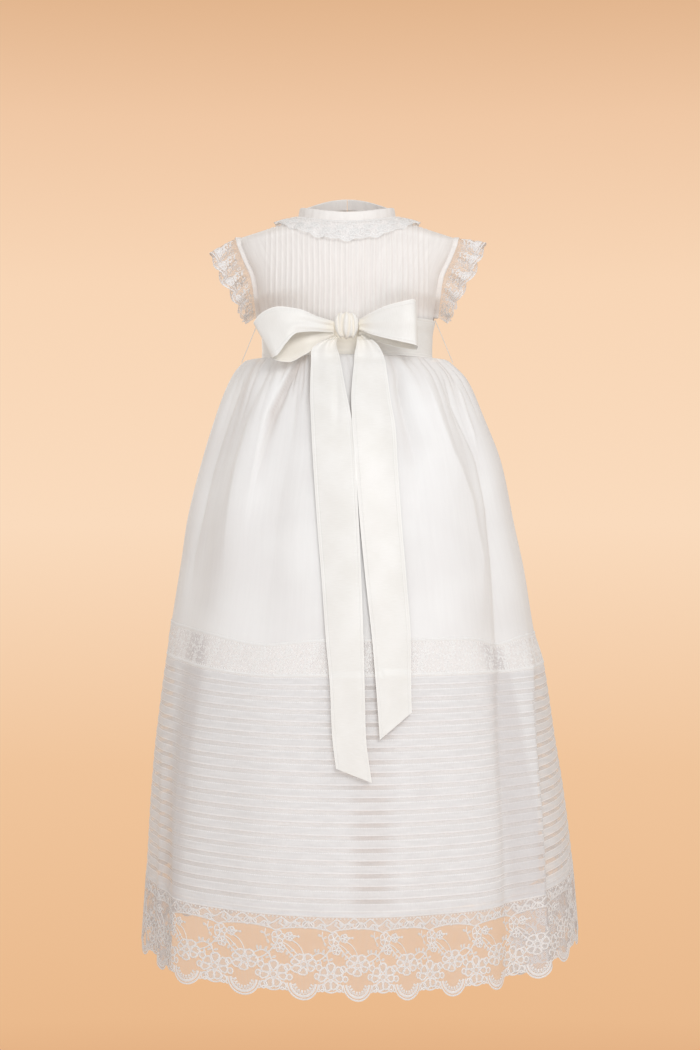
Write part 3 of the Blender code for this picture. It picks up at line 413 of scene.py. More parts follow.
def down(count, low=0, high=1):
    # even steps, one to a row
    return np.linspace(low, high, count)[:, None]


def allRound(count, low=-180, high=180):
    # even steps round a closed ring
    return np.linspace(low, high, count, endpoint=False)[None, :]


gatherSettings = {"count": 58, "depth": 0.0034, "shortest": 0.025, "longest": 0.095, "jitter": 0.32,
                  "seed": 7}


def gatherTable():
    # gathers under the waist seam, uneven in place, breadth and length
    random = np.random.default_rng(gatherSettings["seed"])
    count = gatherSettings["count"]
    pitch = 360 / count
    places = -180 + pitch * (np.arange(count) + gatherSettings["jitter"] * random.uniform(-1, 1, count))
    breadths = pitch * random.uniform(0.2, 0.36, count)
    lengths = random.uniform(gatherSettings["shortest"], gatherSettings["longest"], count)
    depths = gatherSettings["depth"] * random.uniform(0.55, 1.15, count)
    drifts = random.uniform(-25, 25, count)
    return list(zip(places, breadths, lengths, depths, drifts))


gathers = gatherTable()


def gatherOutset(azimuth, level):
    total = np.zeros(np.broadcast(azimuth, level).shape)
    below = np.clip(waistLevel - level, 0, None)
    start = ramp(below, 0, 0.0035)
    for place, breadth, length, depth, drift in gathers:
        away = turnBetween(azimuth, place + drift * below) / breadth
        fade = np.clip(1 - below / (length * 1.7), 0, 1) ** 1.5
        total -= depth * start * fade * np.exp(-0.8 * np.abs(away) ** 1.4)
    return total


def creaseOutset(azimuth, level, widest=90):
    total = np.zeros(np.broadcast(azimuth, level).shape)
    for minus, plus, route in skirtCreases:
        if min(minus, plus) <= widest:
            places, levels, depths = (np.array(route, float)[::-1] * (1, -0.001, 0.001)).T
            away = turnBetween(azimuth, np.interp(level, levels, places))
            away = np.where(away < 0, away / minus, away / plus)
            total += np.interp(level, levels, depths) * np.exp(-0.7 * np.abs(away) ** 1.5)
    return total


def foldOutset(azimuth, level):
    total = np.zeros(np.broadcast(azimuth, level).shape)
    top, hem = foldLevels[0], foldLevels[-1]
    fall, settle = ramp(level, top, hem - top), ramp(level, waistLevel, top - waistLevel)
    for waistAzimuth, hemAzimuth, *depths, breadth in skirtFolds:
        depth = np.interp(level, foldLevels[::-1], depths[::-1]) / 1000 * settle
        total += depth * bell(turnBetween(azimuth, mix(waistAzimuth, hemAzimuth, fall)) / breadth)
    return total


def roundForm(turn, sizes, outset, level, rise=0):
    # a point of a ring: sizes are its half width, its depth in front and behind, and its lean
    halfWidth, front, back, lean = sizes
    side, ahead = np.sin(turn), np.cos(turn)
    depth = np.where(ahead > 0, front, back) + outset
    return stack(lean + (halfWidth + outset) * side, -depth * ahead, level + rise)


def skirtForm(azimuth, level, outset=0, fine=True):
    azimuth, level = np.broadcast_arrays(np.asarray(azimuth, float), np.asarray(level, float))
    turn = np.radians(azimuth)
    side = np.sin(turn)
    *sizes, liftRight, liftLeft = skirt(level)
    out = foldOutset(azimuth, level) + outset
    if fine:
        out = out + creaseOutset(azimuth, level) + gatherOutset(azimuth, level)
    rise = np.where(side > 0, liftLeft, liftRight) * side ** 4
    for place, height, drop, breadth, reach in skirtSags:
        rise = rise - drop * bell(turnBetween(azimuth, place) / breadth) * bell((level - height) / reach)
    return roundForm(turn, sizes, out, level, rise)


# meshes

def addPiece(name, points, finish, wrap=False, values=None, uv=None):
    # a grid of points, closed round where it wraps, with values kept at its points
    rows, columns = points.shape[:2]
    index = np.arange(rows * columns).reshape(rows, columns)
    ahead = np.roll(index, -1, axis=1) if wrap else index[:, 1:]
    here = index if wrap else index[:, :-1]
    faces = np.stack([here[:-1], here[1:], ahead[1:], ahead[:-1]], axis=-1).reshape(-1, 4)
    uv = clothUv(points, wrap) if uv is None else uv
    place = np.arange(rows * uv.shape[1]).reshape(rows, -1)
    corners = np.stack([place[:-1, :-1], place[1:, :-1], place[1:, 1:], place[:-1, 1:]], axis=-1)
    mesh = bpy.data.meshes.new(name)
    mesh.from_pydata(points.reshape(-1, 3), [], faces)
    layer = mesh.uv_layers.new(name="cloth")
    layer.data.foreach_set("uv", uv.reshape(-1, 2)[corners.ravel()].astype(np.float32).ravel())
    for key, numbers in (values or {}).items():
        layer = mesh.attributes.new(key, "FLOAT", "POINT")
        layer.data.foreach_set("value", np.broadcast_to(numbers, (rows, columns)).astype(np.float32).ravel())
    mesh.materials.append(finishes[finish])
    mesh.shade_smooth()
    return addObject(name, mesh)


def closeUp(piece):
    # joins the points that meet at a pole or at the end of a ring
    shell = bmesh.new()
    shell.from_mesh(piece.data)
    bmesh.ops.remove_doubles(shell, verts=shell.verts, dist=0.000002)
    shell.to_mesh(piece.data)
    shell.free()
    piece.data.shade_smooth()
    return piece


def clothUv(points, wrap=False, row=None):
    # distances along the cloth, in metres
    across = points[len(points) // 2 if row is None else row]
    if wrap:
        across = np.concatenate([across, across[:1]])
    return stack(lengthAlong(across)[None, :], -lengthAlong(points[:, 0])[:, None])


def gridNormals(points):
    return unit(np.cross(np.gradient(points, axis=0), np.gradient(points, axis=1)))


def attach(piece, slot, *nodes):
    # every piece moves with the one body; the nodes named are those it stands for
    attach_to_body(piece, "root")
    if nodes:
        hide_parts(*nodes)


def declare(piece, slot, nodes, withPieces=()):
    # attaches a piece of cloth, and the pieces that go with it, to the one body, and hides the solid parts it
    # stands for
    attach(piece, slot, *nodes)
    for other in withPieces:
        attach(other, slot)


def letLightThrough(*pieces):
    # light passes the sheer layers to the cloth behind them
    for piece in pieces:
        piece.visible_shadow = piece.visible_diffuse = False


# finishes

def makeFinish(name):
    material, graph, shader = startFinish(name)
    return material, graph, shader, *graph.split(graph.step("ShaderNodeUVMap", uv_map="cloth"), "X", "Y")


clothLooks = {
    # a lighter and a darker tone, mixed by noise, the tone of painted shade in the hollows (the point value
    # "deep"), thread pitch, cover
    "organza": {"deep": (212, 202, 196), "light": (250, 250, 249), "shade": (243, 242, 241), "pitch": 0.00042,
                "cover": 0.88, "coverSpan": 0.05, "roughness": 0.5, "sheen": 0.25, "slub": 0.12},
    "bodiceCloth": {"deep": (240, 236, 232), "light": (248, 244, 240), "shade": (236, 231, 227),
                    "pitch": 0.0004, "cover": 1, "coverSpan": 0, "roughness": 0.55, "sheen": 0.25,
                    "slub": 0.25},
    "lining": {"deep": (205, 192, 184), "light": (241, 238, 236), "shade": (235, 232, 230), "pitch": 0.0005,
               "cover": 1, "coverSpan": 0, "roughness": 0.75, "sheen": 0.1, "slub": 0.15},
}
plainSheen = {"Specular IOR Level": 0.35, "Sheen Weight": 0.25, "Sheen Roughness": 0.4}


def makeCloth(name):
    look = clothLooks[name]
    material, graph, shader, u, v = makeFinish(name)
    wave = circle / look["pitch"]
    weave = graph.sine(u * wave) * graph.sine(v * wave)
    silk = graph.noise(graph.vector(u, v * 0.06), 260, 3, 0.6)
    cloud = graph.noise(graph.vector(u, v), 11, 2, 0.5)
    tone = graph.smooth(silk * look["slub"] + cloud * (1 - look["slub"]), 0.32, 0.68)
    base = graph.mixColour(tone, look["shade"], look["light"])
    # painted shade where the point value "deep" is set
    graph.fill(shader, {**plainSheen, "Base Color": graph.mixColour(graph.value("deep"), base, look["deep"]),
                        "Roughness": silk * 0.12 + (look["roughness"] - 0.06), "Sheen Weight": look["sheen"]})
    if look["cover"] < 1:
        graph.fill(shader, {"Alpha": silk * look["coverSpan"] + (look["cover"] - look["coverSpan"] / 2)})
    graph.bump(shader, weave * 0.35 + silk * 0.6, 0.00008, 0.4)
    return material


# the grey of the painted shade beside the two front folds
foldShadeGrey = (214, 210, 210)
tuckLook = {"light": (250, 250, 250), "shade": (229, 228, 228), "single": 0.52, "double": 0.86, "fold": 0.68,
            "stitchPitch": 0.0022, "roughness": 0.5}


def paintedFoldShade(graph, base, amount):
    # painted shade: greys the cloth beside the two front folds of the skirt, by the point value that marks it
    return graph.mixColour(graph.value("doubled") * amount, base, foldShadeGrey)


def makeTuckCloth():
    # the tier: three layers at each tuck, and one sheer layer between
    material, graph, shader, u, v = makeFinish("tuckedOrganza")
    phase = graph.value("tuckPhase")
    part = graph.math("FRACT", phase)
    fold = tuckLook["fold"]
    onTuck = graph.band(part, 0, 0.05, fold - 0.02, fold + 0.04)
    # painted highlight: a light band just above each tuck's fold edge
    edge = graph.band(part, fold - 0.11, fold - 0.06, fold - 0.02, fold + 0.02)
    stitches = graph.smooth(graph.sine(u * (circle / tuckLook["stitchPitch"])), -0.4, 0.4)
    seam = graph.band(part, 0.03, 0.07, 0.11, 0.15) * (stitches * 0.6 + 0.4)
    silk = graph.noise(graph.vector(u, v * 0.5), 420, 3, 0.6)
    slub = graph.noise(graph.vector(u * 0.15, v), 300, 2, 0.5)
    # random slubs, the stitched seam and the painted highlight at each fold edge lighten the tone
    tone = graph.smooth(slub, 0.3, 0.7) * 0.35 + edge * 0.65 + seam * 0.65
    base = graph.mixColour(graph.capped(tone), tuckLook["shade"], tuckLook["light"])
    cover = onTuck * (tuckLook["double"] - tuckLook["single"]) + tuckLook["single"]
    # the last gap is backed by the turning of the lace
    cover = cover + graph.smooth(phase, tuckCount - 0.45, tuckCount - 0.38) * (1 - onTuck) * 0.45
    # painted shade greys the cloth beside the two front folds
    graph.fill(shader, {**plainSheen, "Base Color": paintedFoldShade(graph, base, 0.55),
                        "Alpha": graph.capped(cover + (silk - 0.5) * 0.16),
                        "Roughness": silk * 0.15 + (tuckLook["roughness"] - 0.07)})
    graph.bump(shader, silk * 0.5 + seam * stitches, 0.00012, 0.6)
    return material


def makePintuckCloth():
    look = clothLooks["bodiceCloth"]
    material, graph, shader, u, v = makeFinish("pintuckedOrganza")
    part = graph.math("FRACT", graph.value("tuckPhase"))
    strength = graph.value("tuckStrength")
    # painted highlight along each tuck's ridge, and painted shade in the darker colour below, beside the
    # ridge
    ridgeHighlight = graph.band(part, 0.36, 0.44, 0.52, 0.6) * strength
    shade = graph.band(part, 0.6, 0.72, 0.78, 0.96) * strength
    silk = graph.noise(graph.vector(u, v * 0.1), 300, 3, 0.6)
    stitch = graph.sine(v * (circle / 0.0021))
    tone = graph.smooth(silk, 0.3, 0.7) * 0.5 + 0.25 + ridgeHighlight * 0.5
    base = graph.mixColour(graph.capped(tone), look["shade"], look["light"])
    graph.fill(shader, {**plainSheen, "Base Color": graph.mixColour(shade * 0.35, base, (230, 221, 216)),
                        "Roughness": silk * 0.12 + (look["roughness"] - 0.06)})
    graph.bump(shader, silk * 0.5 + stitch * shade * 0.4, 0.0001, 0.5)
    return material


netLooks = {
    # tones, size of an opening, how much the thread covers
    "net": {"light": (232, 223, 217), "shade": (221, 212, 206), "cell": 0.0016, "cover": -0.66},
    "closeNet": {"light": (251, 249, 247), "shade": (244, 241, 239), "cell": 0.0014, "cover": -0.55},
    "sheerNet": {"light": (238, 227, 219), "shade": (226, 214, 206), "cell": 0.0018, "cover": -0.9},
}


def makeNet(name):
    # fine hexagonal net: openings on a three-way lattice. The point value "dense" thickens its threads.
    look = netLooks[name]
    material, graph, shader, u, v = makeFinish(name)
    wave = 4 * math.pi / math.sqrt(3) / look["cell"]
    slant = math.sqrt(3) / 2
    holes = graph.math("COSINE", u * wave)
    for sign in (1, -1):
        holes = holes + graph.math("COSINE", (u * -0.5 + v * (slant * sign)) * wave)
    dense = graph.value("dense")
    limit = dense * 1.9 + look["cover"]
    thread = 1 - graph.smooth(holes, limit - 0.5, limit + 0.5)
    cloud = graph.noise(graph.vector(u, v), 60, 2, 0.5)
    base = graph.mixColour(cloud, look["shade"], look["light"])
    # painted shade greys the net beside the two front folds
    graph.fill(shader, {"Base Color": paintedFoldShade(graph, base, 0.8),
                        "Alpha": graph.capped(thread + dense * 0.35), "Roughness": 0.7,
                        "Specular IOR Level": 0.25, "Sheen Weight": 0.2})
    graph.bump(shader, thread, 0.00015, 0.6)
    return material


laceLook = {"roughness": 0.55, "stitch": 0.0006}
laceTones = {"lace": ((242, 238, 235), (251, 248, 246)), "brightLace": ((252, 250, 248), (255, 255, 253))}


def makeLaceThread(name):
    # worked thread of the motifs. The point value "solid" is lower where a petal is only lightly filled.
    material, graph, shader, u, v = makeFinish(name)
    grain = graph.noise(graph.vector(u, v), 900, 3, 0.6)
    stitch = graph.sine((u + v * 0.6) * (circle / laceLook["stitch"]))
    graph.fill(shader, {"Base Color": graph.mixColour(graph.smooth(grain, 0.3, 0.7), *laceTones[name]),
                        "Alpha": graph.capped(graph.value("solid") + (grain - 0.5) * 0.2),
                        "Roughness": grain * 0.2 + (laceLook["roughness"] - 0.1),
                        "Specular IOR Level": 0.35, "Sheen Weight": 0.3})
    graph.bump(shader, stitch * 0.4 + grain, 0.0002, 0.7)
    return material


# the warm tone is painted shade where the satin crowds at the knot
satinLook = {"light": (249, 248, 245), "shade": (238, 236, 231), "warm": (250, 236, 208),
             # the rim tone is a painted highlight along each edge
             "rim": (255, 254, 250), "roughness": 0.39, "selvedge": 0.003}


def makeSatin():
    # weft floats across the ribbon, and a firmer selvedge line near each edge (the point value "edgeAway"); a
    # painted highlight at the very edge, and painted warm shade near the knot
    material, graph, shader, u, v = makeFinish("satin")
    away = graph.value("edgeAway")
    place = (away - satinLook["selvedge"]) / 0.0005
    line = graph.math("EXPONENT", place * place * -1)
    floats = graph.noise(graph.vector(u * 0.08, v), 1500, 2, 0.5)
    cloud = graph.noise(graph.vector(u, v), 24, 2, 0.5)
    # painted highlight right along each edge
    rim = 1 - graph.smooth(away, 0.0003, 0.0009)
    tone = graph.smooth(floats * 0.4 + cloud * 0.6, 0.3, 0.7) * 0.7 + line * 0.4 + rim * 0.5
    base = graph.mixColour(graph.capped(tone), satinLook["shade"], satinLook["light"])
    # painted warm shade, by the point value set near the knot
    body = graph.mixColour(graph.value("warm"), base, satinLook["warm"])
    graph.fill(shader, {"Base Color": graph.mixColour(rim * 0.8, body, satinLook["rim"]),
                        "Roughness": floats * 0.16 + (satinLook["roughness"] - 0.08) + line * 0.1,
                        "Specular IOR Level": 0.5, "Sheen Weight": 0.15, "Sheen Roughness": 0.3})
    graph.bump(shader, floats * 0.4 - line * 2 + cloud, 0.00018, 0.6)
    return material


def makeThreadFinish():
    material, graph, shader = startFinish("twistedThread")
    up, along = graph.split(graph.step("ShaderNodeTexCoord", None, "Object"), "Z", "Y")
    twist = graph.sine((up + along * 0.8) * (circle / 0.0009))
    tone = graph.mixColour(graph.smooth(twist, -1, 1), (214, 208, 200), (246, 244, 240))
    graph.fill(shader, {"Base Color": tone, "Roughness": 0.55, "Sheen Weight": 0.2})
    graph.bump(shader, twist, 0.0001, 0.6)
    return material


def makeButtonFinish():
    material, graph, shader = startFinish("pearlButton")
    cloud = graph.noise(graph.step("ShaderNodeTexCoord", None, "Object"), 320, 3, 0.6)
    tone = graph.mixColour(graph.smooth(cloud, 0.3, 0.7), (236, 230, 220), (250, 247, 242))
    graph.fill(shader, {"Base Color": tone, "Roughness": cloud * 0.15 + 0.18, "Coat Weight": 0.4,
                        "Coat Roughness": 0.1})
    graph.bump(shader, cloud, 0.00005, 0.4)
    return material


finishes = {"tucks": makeTuckCloth(), "pintucks": makePintuckCloth(), "satin": makeSatin(),
            "thread": makeThreadFinish(), "button": makeButtonFinish()}
for names, make in ((clothLooks, makeCloth), (netLooks, makeNet), (laceTones, makeLaceThread)):
    finishes.update({name: make(name) for name in names})
print("finishes ready")


# groups that raise tucks and repeat a motif

def newGroup(name, sockets):
    tree = bpy.data.node_groups.new(name, "GeometryNodeTree")
    for direction in ("OUTPUT", "INPUT"):
        tree.interface.new_socket(name="Geometry", in_out=direction, socket_type="NodeSocketGeometry")
    for key, kind in sockets.items():
        tree.interface.new_socket(name=key, in_out="INPUT", socket_type="NodeSocket" + kind)
    graph = Graph(tree)
    enter = graph.make("NodeGroupInput")
    return tree, graph, [graph.take(enter, key) for key in ("Geometry", *sockets)]


def leaveGroup(graph, geometry, finish):
    solid = graph.step("GeometryNodeRealizeInstances", {"Geometry": geometry})
    dressed = graph.step("GeometryNodeSetMaterial", {"Geometry": solid, "Material": finish})
    graph.make("NodeGroupOutput", {"Geometry": dressed})


def makeTuckGroup():
    # lifts the cloth along its normal over each whole number of the point value tuckPhase
    tree, graph, (cloth, height, rise, fold, edge, finish) = newGroup("raiseTucks", {
        "Height": "Float", "Rise": "Float", "Fold": "Float", "Edge": "Float", "Finish": "Material"})

    def carried(name):
        values = {"Name": name}
        return graph.step("GeometryNodeInputNamedAttribute", values, "Attribute", data_type="FLOAT")
    part = graph.math("FRACT", carried("tuckPhase"))
    lift = graph.band(part, 0, rise, fold, fold + edge) * height * carried("tuckStrength")
    values = {0: graph.step("GeometryNodeInputNormal"), "Scale": lift}
    push = graph.step("ShaderNodeVectorMath", values, "Vector", operation="SCALE")
    moved = graph.step("GeometryNodeSetPosition", {"Geometry": cloth, "Offset": push})
    leaveGroup(graph, moved, finish)
    return tree


def makeRepeatGroup():
    # copies a motif along a line
    tree, graph, (_, motif, count, pitch, finish) = newGroup("repeatMotif", {
        "Motif": "Object", "Count": "Int", "Pitch": "Float", "Finish": "Material"})
    offset = graph.step("ShaderNodeCombineXYZ", {"X": pitch})
    line = graph.step("GeometryNodeMeshLine", {"Count": count, "Offset": offset}, mode="OFFSET")
    source = graph.step("GeometryNodeObjectInfo", {"Object": motif}, "Geometry")
    copies = graph.step("GeometryNodeInstanceOnPoints", {"Points": line, "Instance": source})
    leaveGroup(graph, copies, finish)
    return tree


def applyGroup(piece, tree, values):
    modifier = piece.modifiers.new(tree.name, "NODES")
    modifier.node_group = tree
    for item in tree.interface.items_tree:
        if item.in_out == "INPUT" and item.name in values:
            modifier[item.identifier] = values[item.name]
    graph = bpy.context.evaluated_depsgraph_get()
    piece.data = bpy.data.meshes.new_from_object(
        piece.evaluated_get(graph), preserve_all_data_layers=True, depsgraph=graph)
    piece.modifiers.clear()
    piece.data.shade_smooth()
    return piece


tuckGroup, repeatGroup = makeTuckGroup(), makeRepeatGroup()


# skirt, tier and lining

def evenAzimuths(level, count):
    # azimuths that divide the cloth evenly all round, from the centre back
    fine = np.linspace(-180, 180, 1441)
    return evenly(skirtForm(fine, level), fine, count)[:-1]


# deep and line: how strongly painted shade darkens the narrow creases and gathers, and the dark line painted
# along the sharpest valleys
skirtSettings = {"columns": 960, "rows": 84, "evenAt": -0.3, "top": -0.14665, "outset": -0.0003,
                 "closeTo": 78, "close": 2.6, "deep": 0.6, "line": 0.8}


def makeSkirt():
    count = skirtSettings["columns"]
    even = evenAzimuths(skirtSettings["evenAt"], count)
    # closer columns at the front, where the creases are fine
    weight = np.cumsum(np.where(np.abs(even) < skirtSettings["closeTo"], skirtSettings["close"], 1))
    azimuths = np.interp(np.linspace(weight[0], weight[-1], count), weight, even)[None, :]
    levels = mix(skirtSettings["top"], insertionTop, down(skirtSettings["rows"]) ** 1.25)
    # painted shade in the narrow creases and gathers, with a crisp painted dark line along the sharpest
    # valleys (the point value "deep")
    narrow = creaseOutset(azimuths, levels, 1.2) + gatherOutset(azimuths, levels)
    line = skirtSettings["line"] * ramp(creaseOutset(azimuths, levels, 0.35), 0, -0.0024)
    deep = np.maximum(skirtSettings["deep"] * ramp(narrow, 0, -0.006), line)
    points = skirtForm(azimuths, levels, skirtSettings["outset"])
    return addPiece("skirt", points, "organza", True, {"deep": deep})


tierSettings = {"columns": 520, "evenAt": -0.58, "outset": -0.0002,
                # azimuths beside the two front folds, and the levels where their painted shade fades in
                "doubled": ((39, 4, 52.5, -2), (-47, -3, -64, 8)), "fade": (-0.4, -0.05),
                "tucks": {"Height": 0.0004, "Rise": 0.55, "Fold": 0.66, "Edge": 0.12}}


def doubledAt(azimuth, level):
    right, left = (between(azimuth, *place) for place in tierSettings["doubled"])
    return np.maximum(right, left) * ramp(level, *tierSettings["fade"])


def makeTier():
    azimuths = evenAzimuths(tierSettings["evenAt"], tierSettings["columns"])[None, :]
    steps = (0, 0.05, 0.1, 0.15, 0.4, 0.6, 0.68, 0.74, 0.8, 0.9)
    phases = [tuck + step for tuck in range(tuckCount) for step in steps] + [tuckCount]
    phases = np.array(phases, float)[:, None]
    levels = mix(insertionBottom, tierBottom, phases / tuckCount)
    # the point value for the painted shade beside the two front folds
    values = {"tuckPhase": phases, "tuckStrength": 1, "doubled": doubledAt(azimuths, levels)}
    points = skirtForm(azimuths, levels, tierSettings["outset"])
    piece = addPiece("tuckedTier", points, "tucks", True, values)
    return applyGroup(piece, tuckGroup, {**tierSettings["tucks"], "Finish": finishes["tucks"]})


liningSettings = {"columns": 300, "rows": 70, "top": -0.1484, "hem": -0.7, "hemLift": 0.012, "hemSway": 0.006,
                  "foldPlace": 12, "foldDepth": 0.0075, "inside": 0.003,
                  "waves": ((0.0022, 9, 0.7), (0.0014, 14, 2.1)),
                  # it keeps clear of the deep crease at the left side of the front
                  "roomPlace": 52, "roomLevel": -0.42, "room": 0.0036}


def makeLining():
    azimuths = allRound(liningSettings["columns"])
    turn = np.radians(azimuths)
    # the slip's hem hangs a little unevenly
    hem = (liningSettings["hem"] + liningSettings["hemLift"] * np.sin(turn / 2) ** 2
           + liningSettings["hemSway"] * np.sin(turn + 0.4))
    levels = mix(liningSettings["top"], hem, down(liningSettings["rows"]))
    low = ramp(levels, -0.25, -0.35)
    waves = low * ripples(turn, liningSettings["waves"])
    away = turnBetween(azimuths, liningSettings["foldPlace"])
    fold = low * liningSettings["foldDepth"] * bell(np.where(away < 0, away, away / 5))
    room = liningSettings["room"] * (bell(turnBetween(azimuths, liningSettings["roomPlace"]) / 6)
                                     * bell((levels - liningSettings["roomLevel"]) / 0.03))
    out = waves + fold - liningSettings["inside"] * low - room
    points = roundForm(turn, lining(levels), out, levels)
    # painted shade: a darker upright column beside the fold, darker lower down (the point value "deep")
    away = turnBetween(azimuths, liningSettings["foldPlace"] - 7.5)
    values = {"deep": low ** 2 * np.exp(-np.abs(away / 5.5) ** 4)}
    return addPiece("lining", points, "lining", True, values)


skirtPiece, tierPiece = makeSkirt(), makeTier()
declare(skirtPiece, "organza", ["skirt_front", "skirt_back"])
declare(tierPiece, "organza", ["tucked_front", "tucked_back"])
declare(makeLining(), "lining", ["lining_front", "lining_back_left", "lining_back_right"])
letLightThrough(skirtPiece, tierPiece)
print("skirt, tier and lining ready")


# motifs of lace

class Motif:
    # worked shapes of one lace repeat, flat, in millimetres: x along the strip, y down from its top edge
    def __init__(self):
        self.points, self.faces, self.solid = [], [], []

    def add(self, points, faces, solid):
        start = len(self.points)
        self.points.extend(points)
        self.faces.extend([tuple(start + i for i in face) for face in faces])
        self.solid.extend([solid] * len(points))

    def cord(self, line, width=0.9, height=0.5, closed=False):
        line = np.array(line, float)
        ahead, behind = np.roll(line, -1, axis=0), np.roll(line, 1, axis=0)
        if not closed:
            ahead[-1], behind[0] = line[-1], line[0]
        along = unit(ahead - behind)
        points = []
        for (x, y), (dx, dy) in zip(line, along * width / 2):
            points += [(x - dy, y + dx, 0), (x, y, height), (x + dy, y - dx, 0)]
        faces = []
        count = len(line)
        for i in range(count if closed else count - 1):
            near, far = 3 * i, 3 * ((i + 1) % count)
            faces += [(near, near + 1, far + 1, far), (near + 1, near + 2, far + 2, far + 1)]
        self.add(points, faces, 1)

    def disc(self, line, centre, fill, low=0.1, high=0.2):
        count = len(line)
        points = [(x, y, low) for x, y in line] + [(*centre, high)]
        self.add(points, [(i, (i + 1) % count, count) for i in range(count)], fill)

    def petal(self, root, angle, length, breadth, fill=0.55, rim=0.8, count=9):
        along = np.array(polar((0, 0), 1, angle))
        across = np.array((-along[1], along[0]))
        line = []
        for i in range(count):
            t = circle * i / count
            reach = 0.5 - 0.5 * math.cos(t)
            wide = math.sin(t) * (0.45 + 0.75 * reach) * breadth / 2
            line.append(np.array(root) + along * length * reach + across * wide)
        self.disc(line, np.mean(line, axis=0), fill)
        self.cord(line, rim, 0.45, True)

    def leaf(self, root, angle, length, breadth, fill=0.8):
        self.petal(root, angle, length, breadth, fill, 0.6, 7)

    def dot(self, centre, radius, height=0.6, count=6):
        self.disc([polar(centre, radius, 360 * i / count) for i in range(count)], centre, 1, 0, height)

    def cell(self, centre, radius, fill=0.3, rim=1.1, count=9):
        line = [polar(centre, radius, 360 * i / count) for i in range(count)]
        self.disc(line, centre, fill)
        self.cord(line, rim, 0.45, True)

    def flower(self, centre, radius, petals, start, fill, rim):
        for i in range(petals):
            angle = start + 360 * i / petals
            root = polar(centre, radius * 0.16, angle)
            self.petal(root, angle, radius * 0.84, radius * 5.4 / petals * 0.92, fill, rim)
        self.dot(centre, radius * 0.16)

    def rosette(self, centre, reach, turned, radius, height=0.3):
        # six dots round a tiny flower
        for step in range(6):
            self.dot(polar(centre, reach, 60 * step + turned), radius, height, 5)

    def arc(self, centre, radius, start, end, width, count, waves=0, wave=0):
        line = []
        for i in range(count + 1):
            reach = radius + wave * math.cos(waves * circle * i / count)
            line.append(polar(centre, reach, mix(start, end, i / count)))
        self.cord(line, width)

    def across(self, length, line, width, count, height=0.5):
        # a cord along the strip at y = line(x)
        self.cord([(x, line(x)) for x in np.linspace(0, length, count)], width, height)

    def stem(self, points, width=0.8, count=12):
        # a smooth line through its few points
        self.cord(smoothTable(points)(np.linspace(0, len(points) - 1, count)).T, width)

    def stretch(self, start, centre, across, down):
        # widens or flattens what was added from the point start on
        for i in range(start, len(self.points)):
            x, y, height = self.points[i]
            self.points[i] = mix(centre[0], x, across), mix(centre[1], y, down), height

    def build(self, name):
        mesh = bpy.data.meshes.new(name)
        mesh.from_pydata(metres(*self.points), [], self.faces)
        layer = mesh.attributes.new("solid", "FLOAT", "POINT")
        layer.data.foreach_set("value", np.array(self.solid, np.float32))
        return addObject(name, mesh)


def laceStrip(name, motif, count, pitch, place, finish="brightLace"):
    # repeats the motif flat, lays the strip on the cloth with place(x, y, height), and keeps it as one mesh
    source = motif.build(name + "Repeat")
    carrier = addObject(name, bpy.data.meshes.new(name))
    applyGroup(carrier, repeatGroup, {"Motif": source, "Count": count, "Pitch": pitch / 1000,
                                      "Finish": finishes[finish]})
    bpy.data.objects.remove(source)
    mesh = carrier.data
    flat = np.zeros(len(mesh.vertices) * 3, np.float32)
    mesh.vertices.foreach_get("co", flat)
    flat = flat.reshape(-1, 3).astype(float)
    mesh.vertices.foreach_set("co", place(*flat.T).astype(np.float32).ravel())
    corner = np.zeros(len(mesh.loops), np.int32)
    mesh.loops.foreach_get("vertex_index", corner)
    layer = mesh.uv_layers.new(name="cloth")
    layer.data.foreach_set("uv", flat[corner, :2].astype(np.float32).ravel())
    if not mesh.materials:
        mesh.materials.append(finishes[finish])
    mesh.update()
    mesh.shade_smooth()
    return carrier


# lace insertion

insertionSettings = {"columns": 700, "rows": 12, "evenAt": -0.45, "outset": -0.0003, "repeats": 44,
                     "dense": 0.5, "spray": 38, "sprayReach": 13.6}


def insertionMotif(pitch):
    motif = Motif()
    height = (insertionTop - insertionBottom) * 1000
    middle = -height / 2
    for edge, inward in ((-1.9, -2.6), (-height + 1.7, 2.6)):
        motif.across(pitch, lambda x: edge, 3.6, 9, 0.7)
        for i in range(8):
            motif.dot((pitch * (i + 0.5) / 8, edge + inward), 1.1, 0.5)
    # a close spray of tiny flowers, spread by the turn of a seed head
    for i in range(insertionSettings["spray"]):
        reach = insertionSettings["sprayReach"] * math.sqrt((i + 0.5) / insertionSettings["spray"])
        turn = math.radians(137.5 * i) + 0.4 * math.sin(i * 1.7)
        centre = (pitch * 0.46 + reach * math.cos(turn) * 0.92, middle + reach * math.sin(turn))
        if i % 4 == 0:
            motif.rosette(centre, 2.3, 20 * i, 1.1)
        else:
            motif.dot(centre, 0.9 + 0.6 * (0.5 + 0.5 * math.sin(i * 2.3)), 0.4, 5)
    motif.stem([(0, middle - 3), (pitch * 0.05, middle + 2), (pitch * 0.16, middle + 6)], 0.8, 8)
    for x, y in ((0.93, 8), (0.97, 3), (0.94, -4), (0.02, -8), (0.98, -11), (0.9, -12),
                 (0.92, 12), (0.05, 12)):
        motif.dot((pitch * x, middle + y), 1, 0.4)
    return motif


